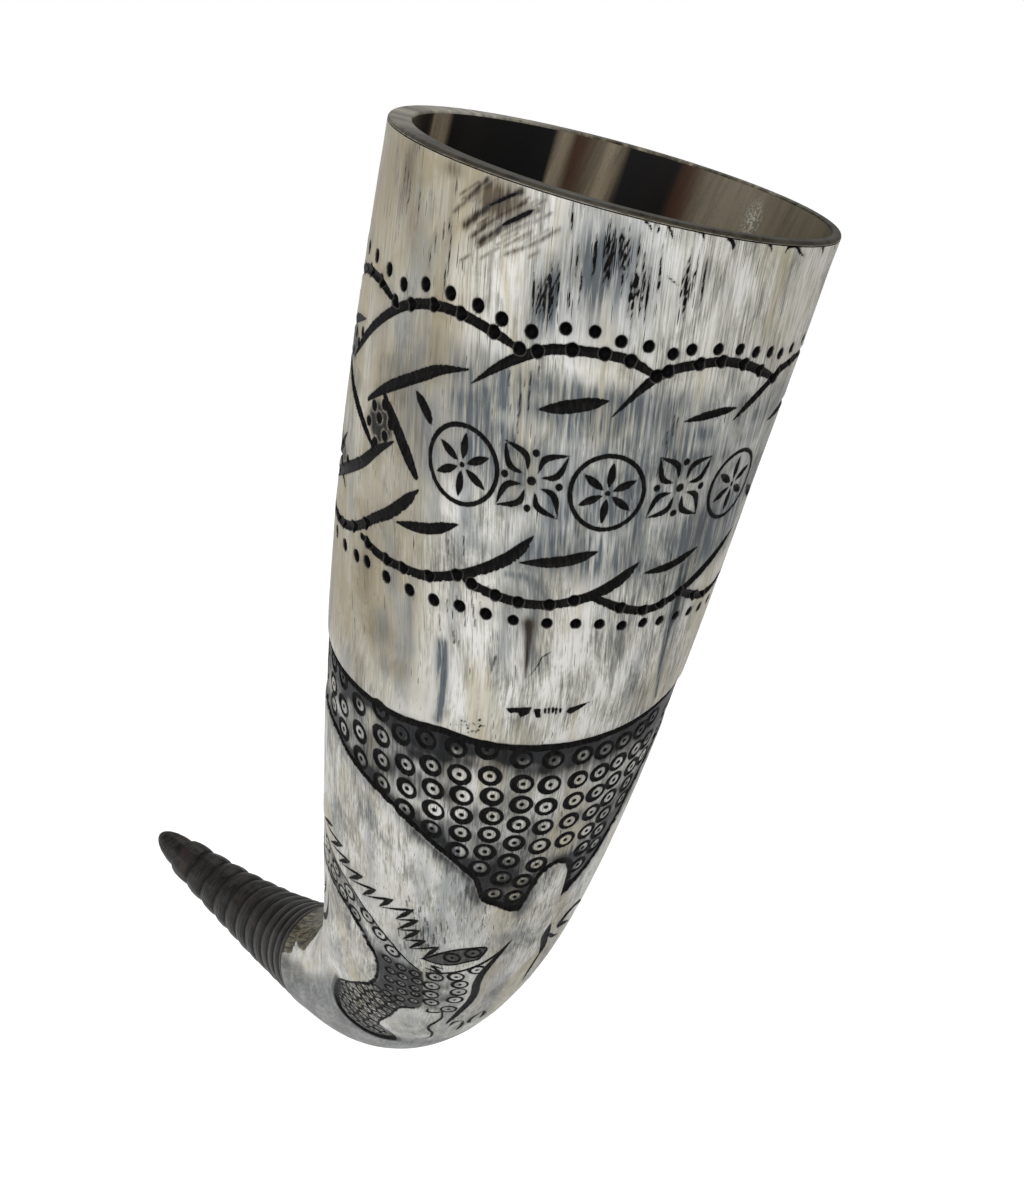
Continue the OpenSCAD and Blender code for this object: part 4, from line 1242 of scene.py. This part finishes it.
class Shader:
    """A material under construction: adds nodes and joins them, and hands back sockets."""

    def __init__(self, name):
        self.material = bpy.data.materials.new(name)
        self.material.use_nodes = True
        self.tree = self.material.node_tree
        self.surface = self.tree.nodes["Principled BSDF"]

    def node(self, kind, **values):
        made = self.tree.nodes.new("ShaderNode" + kind)
        for key, value in values.items():
            setattr(made, key, value)
        return made

    def join(self, source, target):
        if isinstance(source, bpy.types.NodeSocket):
            self.tree.links.new(source, target)
        elif isinstance(source, tuple) and len(source) == 3 and len(target.default_value) == 4:
            target.default_value = (*source, 1)
        else:
            target.default_value = source

    def attribute(self, name, output="Vector"):
        return self.node("Attribute", attribute_name=name).outputs[output]

    def parts(self, vector):
        made = self.node("SeparateXYZ")
        self.join(vector, made.inputs[0])
        return made.outputs[0], made.outputs[1], made.outputs[2]

    def stretch(self, vector, scale):
        made = self.node("VectorMath", operation="MULTIPLY")
        self.join(vector, made.inputs[0])
        made.inputs[1].default_value = scale
        return made.outputs[0]

    def noise(self, vector, scale, detail=3, rough=0.5, distortion=0):
        made = self.node("TexNoise")
        self.join(vector, made.inputs["Vector"])
        made.inputs["Scale"].default_value = scale
        made.inputs["Detail"].default_value = detail
        made.inputs["Roughness"].default_value = rough
        made.inputs["Distortion"].default_value = distortion
        return made.outputs["Fac"]

    def math(self, operation, a, b=0.0, c=0.0):
        made = self.node("Math", operation=operation)
        for value, target in zip((a, b, c), made.inputs):
            self.join(value, target)
        return made.outputs[0]

    def times(self, a, b):
        return self.math("MULTIPLY", a, b)

    def vary(self, value, amount, base):
        """The base, moved by an amount as the value leaves its middle."""
        return self.math("MULTIPLY_ADD", self.math("SUBTRACT", value, 0.5), amount, base)

    def span(self, value, low, high, to_low=0.0, to_high=1.0):
        made = self.node("MapRange", interpolation_type="SMOOTHSTEP")
        for item, target in zip((value, low, high, to_low, to_high), made.inputs):
            self.join(item, target)
        return made.outputs[0]

    def mix(self, share, a, b):
        made = self.node("Mix", data_type="RGBA")
        self.join(share, made.inputs["Factor"])
        self.join(a, made.inputs[6])
        self.join(b, made.inputs[7])
        return made.outputs[2]

    def ramp(self, value, *stops):
        made = self.node("ValToRGB")
        self.join(value, made.inputs[0])
        bar = made.color_ramp
        while len(bar.elements) < len(stops):
            bar.elements.new(0.5)
        for element, (place, colour) in zip(bar.elements, stops):
            element.position = place
            element.color = (*colour, 1)
        return made.outputs[0]

    def bump(self, height, distance, strength=1.0, under=None):
        made = self.node("Bump")
        made.inputs["Strength"].default_value = strength
        made.inputs["Distance"].default_value = distance
        self.join(height, made.inputs["Height"])
        if under is not None:
            self.join(under, made.inputs["Normal"])
        return made.outputs[0]

    def finish(self, colour, roughness, normal=None, **sockets):
        self.join(colour, self.surface.inputs["Base Color"])
        self.join(roughness, self.surface.inputs["Roughness"])
        if normal is not None:
            self.join(normal, self.surface.inputs["Normal"])
        for name, value in sockets.items():
            self.surface.inputs[name.replace("_", " ").title().replace("Ior", "IOR")].default_value = value
        return self.material


def horn_material(settings):
    """Scraped pale horn: mottled and brushed lengthwise, with stains, and ink in everything that is cut;
    painted shade in the drilled pits and a painted highlight round their edges.
    """
    horn = Shader("pale horn")
    flat = horn.attribute("flat")
    brown, blue, soot_and_shade = horn.parts(horn.attribute("tone"))
    splinter, warm, khaki = horn.parts(horn.attribute("marks"))
    cut, pit = horn.attribute("cut", "Fac"), horn.attribute("pit", "Fac")
    cloud = horn.noise(horn.stretch(flat, (1, 1, 0.5)), 55, 3, 0.5, 0.6)
    mottle = horn.noise(horn.stretch(flat, (1, 1, 0.42)), 170, 5, 0.66, 0.9)
    brush = horn.noise(horn.stretch(flat, (1, 1, 0.05)), 1300, 3, 0.6)
    hair = horn.noise(horn.stretch(flat, (1, 1, 0.026)), 3600, 1, 0.6)
    speck = horn.noise(horn.stretch(flat, (1, 1, 0.4)), 1700, 2, 0.6)
    strand = brush
    calm = horn.span(horn.parts(flat)[2], 0.14, 0.235, 1, 0.25)
    brush = horn.vary(brush, calm, 0.5)
    hair = horn.vary(hair, calm, 0.5)
    body = horn.vary(cloud, 0.9, 0.54)
    body = horn.vary(mottle, 1.4, body)
    body = horn.vary(brush, 0.8, body)
    body = horn.vary(hair, 0.88, body)
    colour = horn.ramp(
        body,
        (0.12, (0.17, 0.175, 0.17)),
        (0.34, (0.37, 0.37, 0.34)),
        (0.50, tuple(settings.horn_colour)),
        (0.72, (0.9, 0.895, 0.86)),
    )
    tan = horn.times(warm, horn.span(mottle, 0.36, 0.62, 0.5, 1))
    colour = horn.mix(horn.times(tan, 0.95), colour, (0.42, 0.36, 0.24))
    drift = horn.noise(horn.stretch(flat, (1, 1, 0.3)), 95, 3, 0.6, 0.4)
    colour = horn.mix(horn.span(drift, 0.52, 0.68, 0, 0.6), colour, (0.6, 0.53, 0.37))
    colour = horn.mix(horn.span(drift, 0.44, 0.32, 0, 0.5), colour, (0.27, 0.3, 0.32))
    # The blue layer holds blue-grey stains, and painted shade on the underside of the bend
    stain = horn.times(blue, horn.span(brush, 0.3, 0.66, 0.3, 1.2))
    colour = horn.mix(horn.math("MINIMUM", stain, 0.92), colour, (0.075, 0.095, 0.115))
    smudge = horn.times(brown, horn.span(brush, 0.3, 0.6, 0.55, 1.15))
    colour = horn.mix(horn.math("MINIMUM", smudge, 0.95), colour, tuple(settings.stain_colour))
    fibre = horn.ramp(
        strand,
        (0.36, (0.016, 0.012, 0.007)),
        (0.5, (0.07, 0.06, 0.036)),
        (0.64, (0.2, 0.18, 0.12)),
    )
    colour = horn.mix(khaki, colour, fibre)
    # Near-black from soot, ink and stains, and painted shade on the underside of the bend and on the near
    # side of the rim
    grime_and_shade = horn.math("POWER", soot_and_shade, horn.span(brush, 0.32, 0.66, 1.8, 0.5))
    colour = horn.mix(grime_and_shade, colour, (0.01, 0.01, 0.0112))
    ragged = horn.vary(speck, 0.26, cut)
    wide_halo = horn.times(horn.span(cut, 1.7, 0.1), horn.span(mottle, 0.4, 0.66, 0, 0.2))
    colour = horn.mix(wide_halo, colour, (0.09, 0.11, 0.13))
    halo = horn.span(ragged, 0.26, 0.0, 0, 0.4)
    colour = horn.mix(halo, colour, (0.04, 0.04, 0.042))
    split = horn.math("MULTIPLY_ADD", splinter, 0.165, hair)
    colour = horn.mix(horn.span(split, 0.7, 0.745, 0, 0.94), colour, (0.02, 0.018, 0.018))
    ink = horn.span(ragged, 0.06, -0.03)
    ink_tone = horn.mix(horn.span(speck, 0.4, 0.7), tuple(settings.ink_colour), (0.013, 0.0115, 0.0105))
    # Painted highlight: a paler ring in the ink at the edge of each drilled pit; painted shade: near-black
    # deeper in the pit
    pit_rim_highlight = horn.span(horn.math("ABSOLUTE", pit), 0.15, 0.05, 0, 0.6)
    ink_tone = horn.mix(pit_rim_highlight, ink_tone, (0.08, 0.075, 0.068))
    ink_tone = horn.mix(horn.span(pit, -0.02, -0.3), ink_tone, (0.0012, 0.0012, 0.0014))
    colour = horn.mix(ink, colour, ink_tone)
    roughness = horn.math("MULTIPLY_ADD", brush, 0.24, 0.3)
    roughness = horn.math("MULTIPLY_ADD", ink, 0.14, roughness)
    normal = horn.bump(hair, 0.00006, settings.grain)
    normal = horn.bump(brush, 0.00014, settings.grain, normal)
    return horn.finish(colour, roughness, normal, specular_ior_level=0.05, ior=1.5)


def lining_material(settings):
    """The glossy coat over dark, tan and khaki bands of horn."""
    coat = Shader("hollow coat")
    flat = coat.attribute("flat")
    tan, red, grey = coat.parts(coat.attribute("tone"))
    scuff = coat.attribute("scuff", "Fac")
    streak = coat.noise(coat.stretch(flat, (1, 1, 0.08)), 620, 4, 0.65)
    cloud = coat.noise(coat.stretch(flat, (1, 1, 0.3)), 110, 3, 0.5)
    speck = coat.noise(flat, 1900, 2, 0.6)
    vary = coat.span(streak, 0.32, 0.66, 0.6, 1.25)
    pale = coat.math("MINIMUM", coat.times(tan, vary), 1)
    colour = coat.mix(pale, tuple(settings.dark_colour), tuple(settings.tan_colour))
    reddish = coat.times(red, coat.span(cloud, 0.3, 0.6, 0.6, 1))
    colour = coat.mix(reddish, colour, (0.06, 0.024, 0.013))
    khaki = coat.times(coat.times(grey, tan), 0.8)
    colour = coat.mix(khaki, colour, (0.29, 0.27, 0.205))
    colour = coat.mix(coat.span(speck, 0.6, 0.7, 0, 0.3), colour, (0.012, 0.011, 0.01))
    worn = coat.times(scuff, coat.span(speck, 0.44, 0.6))
    colour = coat.mix(worn, colour, (0.62, 0.6, 0.54))
    roughness = coat.math("MULTIPLY_ADD", cloud, 0.16, 0.3)
    normal = coat.bump(streak, 0.00012, 0.5)
    return coat.finish(colour, roughness, normal, coat_weight=0.3, coat_roughness=0.12,
                       specular_ior_level=0.25, ior=1.5)


def tip_material(settings):
    """Matte stained horn with fine scratches round it, browner in patches, and painted shade that darkens the
    creases between its rings.
    """
    tip = Shader("stained horn")
    flat = tip.attribute("flat")
    crease = tip.attribute("crease", "Fac")
    round_lines = tip.noise(tip.stretch(flat, (0.14, 0.14, 1)), 1700, 3, 0.6)
    cloud = tip.noise(flat, 120, 3, 0.6)
    speck = tip.noise(flat, 1400, 2, 0.7)
    worn = tip.span(round_lines, 0.38, 0.62)
    colour = tip.mix(worn, tuple(settings.dark_colour), tuple(settings.crown_colour))
    browner = tip.times(tip.span(cloud, 0.52, 0.68), 0.2)
    colour = tip.mix(browner, colour, (0.07, 0.04, 0.025))
    # Painted shade: near-black in the creases between the rings
    crease_shade = tip.times(tip.span(crease, 0.15, 0.85), 0.94)
    colour = tip.mix(crease_shade, colour, (0.005, 0.0045, 0.0045))
    colour = tip.mix(tip.span(speck, 0.62, 0.75, 0, 0.14), colour, (0.11, 0.1, 0.09))
    roughness = tip.math("MULTIPLY_ADD", round_lines, 0.2, 0.36)
    normal = tip.bump(round_lines, 0.0002, 0.7)
    normal = tip.bump(speck, 0.00008, 0.5, normal)
    return tip.finish(colour, roughness, normal, specular_ior_level=0.2, ior=1.5)


def peg_material():
    """Bare dowel: pale wood with lengthwise grain."""
    wood = Shader("bare dowel")
    place = wood.node("TexCoord").outputs["Object"]
    rings = wood.noise(wood.stretch(place, (1, 1, 0.12)), 900, 4, 0.6, 0.4)
    pores = wood.noise(wood.stretch(place, (1, 1, 0.06)), 3200, 2, 0.6)
    colour = wood.ramp(rings, (0.3, (0.34, 0.21, 0.11)), (0.6, (0.6, 0.44, 0.27)), (0.8, (0.68, 0.52, 0.34)))
    colour = wood.mix(wood.span(pores, 0.6, 0.75, 0, 0.5), colour, (0.22, 0.13, 0.07))
    roughness = wood.math("ADD", wood.times(pores, 0.2), 0.5)
    return wood.finish(colour, roughness, wood.bump(pores, 0.0001, 0.6))


# Shade of the floor and its glow as the camera sees them
FLOOR_SHADE, FLOOR_GLOW = 0.4, 0.86


def floor_material():
    """A pale floor that shows white to the camera but for the soft shadow on it."""
    made = Shader("pale floor")
    tree = made.tree
    place = made.node("TexCoord").outputs["Object"]
    grain = made.noise(place, 30, 3, 0.5)
    colour = made.ramp(grain, (0.4, (0.5, 0.5, 0.5)), (0.6, (0.53, 0.53, 0.53)))
    made.join(colour, made.surface.inputs["Base Color"])
    made.join(0.9, made.surface.inputs["Roughness"])
    path = made.node("LightPath")
    seen = made.math("MAXIMUM", path.outputs["Is Camera Ray"], path.outputs["Is Glossy Ray"])
    seen = made.math("MAXIMUM", seen, path.outputs["Is Transmission Ray"])
    soft = made.node("BsdfDiffuse")
    soft.inputs[0].default_value = (FLOOR_SHADE, FLOOR_SHADE, FLOOR_SHADE, 1)
    glow = made.node("Emission")
    glow.inputs["Strength"].default_value = FLOOR_GLOW
    both = made.node("AddShader")
    tree.links.new(soft.outputs[0], both.inputs[0])
    tree.links.new(glow.outputs[0], both.inputs[1])
    choose = made.node("MixShader")
    tree.links.new(seen, choose.inputs[0])
    tree.links.new(made.surface.outputs[0], choose.inputs[1])
    tree.links.new(both.outputs[0], choose.inputs[2])
    tree.links.new(choose.outputs[0], tree.nodes["Material Output"].inputs["Surface"])
    return made.material


def add_lamp(name, place, target, size, power):
    """A round area lamp that the camera doesn't see."""
    lamp = bpy.data.lights.new(name, "AREA")
    lamp.shape = "DISK"
    lamp.size = size
    lamp.energy = power
    holder = bpy.data.objects.new(name, lamp)
    holder.location = place
    holder.rotation_euler = (Vector(target) - Vector(place)).to_track_quat("-Z", "Y").to_euler()
    holder.visible_camera = False
    bpy.context.scene.collection.objects.link(holder)


# Lamps: name, place and size, all aimed at the middle of the horn, in metres
LAMPS = [("key", (-0.9, -0.55, 0.75), 0.9), ("fill", (-1.1, 0.9, -0.1), 1.2), ("back", (0.9, 0.5, 1.1), 1.0)]
LAMP_TARGET = (0.05, 0.04, -0.14)
# The camera, fitted to the photograph
CAMERA_PLACE = Vector((-0.265738, -0.099407, 0.037672))
CAMERA_LOOK = Vector((0.86645591, 0.31839771, -0.38454785))
CAMERA_UP = Vector((0.25778618, 0.37430328, 0.89075436))
CAMERA_LENS, SENSOR_WIDTH = 56.83, 36


def build_stage(settings):
    """The floor, the lamps, the white room and the camera."""
    scene = bpy.context.scene
    bpy.ops.mesh.primitive_circle_add(vertices=96, radius=settings.floor_radius, fill_type="NGON",
                                      location=(0, 0, -settings.floor_drop))
    floor = bpy.context.object
    floor.name = "pale_floor"
    floor.data.materials.append(floor_material())
    for name, place, size in LAMPS:
        add_lamp(name, place, LAMP_TARGET, size, getattr(settings, name + "_power"))
    world = bpy.data.worlds.new("soft white room")
    scene.world = world
    world.use_nodes = True
    tree = world.node_tree
    sky = tree.nodes["Background"]
    sky.inputs["Color"].default_value = (1, 1, 1, 1)
    path = tree.nodes.new("ShaderNodeLightPath")
    either = tree.nodes.new("ShaderNodeMath")
    either.operation = "MAXIMUM"
    tree.links.new(path.outputs["Is Camera Ray"], either.inputs[0])
    tree.links.new(path.outputs["Is Transmission Ray"], either.inputs[1])
    level = tree.nodes.new("ShaderNodeMapRange")
    level.inputs["To Min"].default_value = settings.room_light
    level.inputs["To Max"].default_value = 1
    tree.links.new(either.outputs[0], level.inputs["Value"])
    tree.links.new(level.outputs[0], sky.inputs["Strength"])
    lens = bpy.data.cameras.new("photo view")
    lens.lens = CAMERA_LENS
    lens.sensor_width = SENSOR_WIDTH
    lens.sensor_fit = "HORIZONTAL"
    lens.clip_start = 0.01
    camera = bpy.data.objects.new("photo_view", lens)
    right = CAMERA_LOOK.cross(CAMERA_UP).normalized()
    up = right.cross(CAMERA_LOOK).normalized()
    facing = Matrix((right, up, -CAMERA_LOOK.normalized())).transposed().to_4x4()
    camera.matrix_world = Matrix.Translation(CAMERA_PLACE) @ facing
    scene.collection.objects.link(camera)
    scene.camera = camera
    scene.view_settings.view_transform = "Standard"


class HornSkinSettings(bpy.types.PropertyGroup):
    horn_colour: bpy.props.FloatVectorProperty(
        name="Horn colour", description="Main colour of the scraped horn", subtype="COLOR",
        size=3, min=0, max=1, default=(0.62, 0.61, 0.545))
    stain_colour: bpy.props.FloatVectorProperty(
        name="Stain colour", description="Brown of the smudges and of the polished edge", subtype="COLOR",
        size=3, min=0, max=1, default=(0.1, 0.074, 0.048))
    ink_colour: bpy.props.FloatVectorProperty(
        name="Ink colour", description="Black in the carving", subtype="COLOR",
        size=3, min=0, max=1, default=(0.0032, 0.0032, 0.0034))
    grain: bpy.props.FloatProperty(
        name="Grain", description="Strength of the fine scraped lines", subtype="FACTOR",
        min=0, max=1, default=0.55)


class HornHollowSettings(bpy.types.PropertyGroup):
    dark_colour: bpy.props.FloatVectorProperty(
        name="Dark bands", description="Near-black bands inside the hollow", subtype="COLOR",
        size=3, min=0, max=1, default=(0.005, 0.005, 0.0056))
    tan_colour: bpy.props.FloatVectorProperty(
        name="Tan bands", description="Tan bands inside the hollow", subtype="COLOR",
        size=3, min=0, max=1, default=(0.26, 0.2, 0.13))


class HornTipSettings(bpy.types.PropertyGroup):
    dark_colour: bpy.props.FloatVectorProperty(
        name="Stain", description="Black-brown of the stained tip", subtype="COLOR",
        size=3, min=0, max=1, default=(0.005, 0.0045, 0.0042))
    crown_colour: bpy.props.FloatVectorProperty(
        name="Worn rings", description="Where the rings are worn paler", subtype="COLOR",
        size=3, min=0, max=1, default=(0.027, 0.024, 0.0215))


class HornStageSettings(bpy.types.PropertyGroup):
    floor_drop: bpy.props.FloatProperty(
        name="Floor below rim", description="How far the floor lies below the rim", unit="LENGTH",
        default=0.6)
    floor_radius: bpy.props.FloatProperty(
        name="Floor radius", description="Radius of the pale floor", unit="LENGTH", default=12)
    key_power: bpy.props.FloatProperty(
        name="Key lamp", description="Power of the main lamp", unit="POWER", default=10.6)
    fill_power: bpy.props.FloatProperty(
        name="Fill lamp", description="Power of the lamp that softens the shadows", unit="POWER", default=6.3)
    back_power: bpy.props.FloatProperty(
        name="Back lamp", description="Power of the lamp behind the horn", unit="POWER", default=7)
    room_light: bpy.props.FloatProperty(
        name="Room light", description="Level of the light from all sides", subtype="FACTOR", default=0.34)


class HORN_OT_carved_skin(bpy.types.Operator):
    """Make the carved outer skin of the horn and its polished edge"""

    bl_idname = "horn.carved_skin"
    bl_label = "Carved skin and edge"

    def execute(self, context):
        material = horn_material(context.scene.horn_skin)
        skin, points = build_skin(material)
        build_rim(skin, points, material)
        return {"FINISHED"}


class HORN_OT_hollow_lining(bpy.types.Operator):
    """Make the glossy coat of the hollow"""

    bl_idname = "horn.hollow_lining"
    bl_label = "Hollow lining"

    def execute(self, context):
        build_lining(lining_material(context.scene.horn_hollow))
        return {"FINISHED"}


class HORN_OT_ringed_end(bpy.types.Operator):
    """Make the dark ringed tip"""

    bl_idname = "horn.ringed_end"
    bl_label = "Ringed tip"

    def execute(self, context):
        build_tip(tip_material(context.scene.horn_tip))
        return {"FINISHED"}


class HORN_OT_tip_peg(bpy.types.Operator):
    """Give the hidden peg its wood"""

    bl_idname = "horn.tip_peg"
    bl_label = "Tip peg"

    def execute(self, context):
        found = [o for o in bpy.data.objects if o.name.startswith("tip_peg") and o.type == "MESH"]
        if not found:
            raise RuntimeError("the peg is not in the frame")
        material = peg_material()
        for peg in found:
            for place in peg.material_slots:
                place.material = material
        return {"FINISHED"}


class HORN_OT_stage(bpy.types.Operator):
    """Make the floor, the lamps and the camera"""

    bl_idname = "horn.stage"
    bl_label = "Stage and camera"

    def execute(self, context):
        build_stage(context.scene.horn_stage)
        return {"FINISHED"}


class HORN_PT_panel(bpy.types.Panel):
    bl_label = "Carved drinking horn"
    bl_idname = "HORN_PT_panel"
    bl_space_type = "VIEW_3D"
    bl_region_type = "UI"
    bl_category = "Horn"

    def draw(self, context):
        for group in ("horn_skin", "horn_hollow", "horn_tip", "horn_stage"):
            box = self.layout.box()
            settings = getattr(context.scene, group)
            for name in settings.__annotations__:
                box.prop(settings, name)
        for operator in OPERATORS:
            self.layout.operator(operator.bl_idname)


SETTINGS = {
    "horn_skin": HornSkinSettings,
    "horn_hollow": HornHollowSettings,
    "horn_tip": HornTipSettings,
    "horn_stage": HornStageSettings,
}
OPERATORS = [HORN_OT_carved_skin, HORN_OT_hollow_lining, HORN_OT_ringed_end, HORN_OT_tip_peg, HORN_OT_stage]


def register():
    for name, group in SETTINGS.items():
        bpy.utils.register_class(group)
        setattr(bpy.types.Scene, name, bpy.props.PointerProperty(type=group))
    for made in OPERATORS + [HORN_PT_panel]:
        bpy.utils.register_class(made)


def unregister():
    for made in reversed(OPERATORS + [HORN_PT_panel]):
        bpy.utils.unregister_class(made)
    for name, group in SETTINGS.items():
        delattr(bpy.types.Scene, name)
        bpy.utils.unregister_class(group)


def main():
    register()
    for operator in OPERATORS:
        family, name = operator.bl_idname.split(".")
        getattr(getattr(bpy.ops, family), name)()


if __name__ == "__main__":
    main()
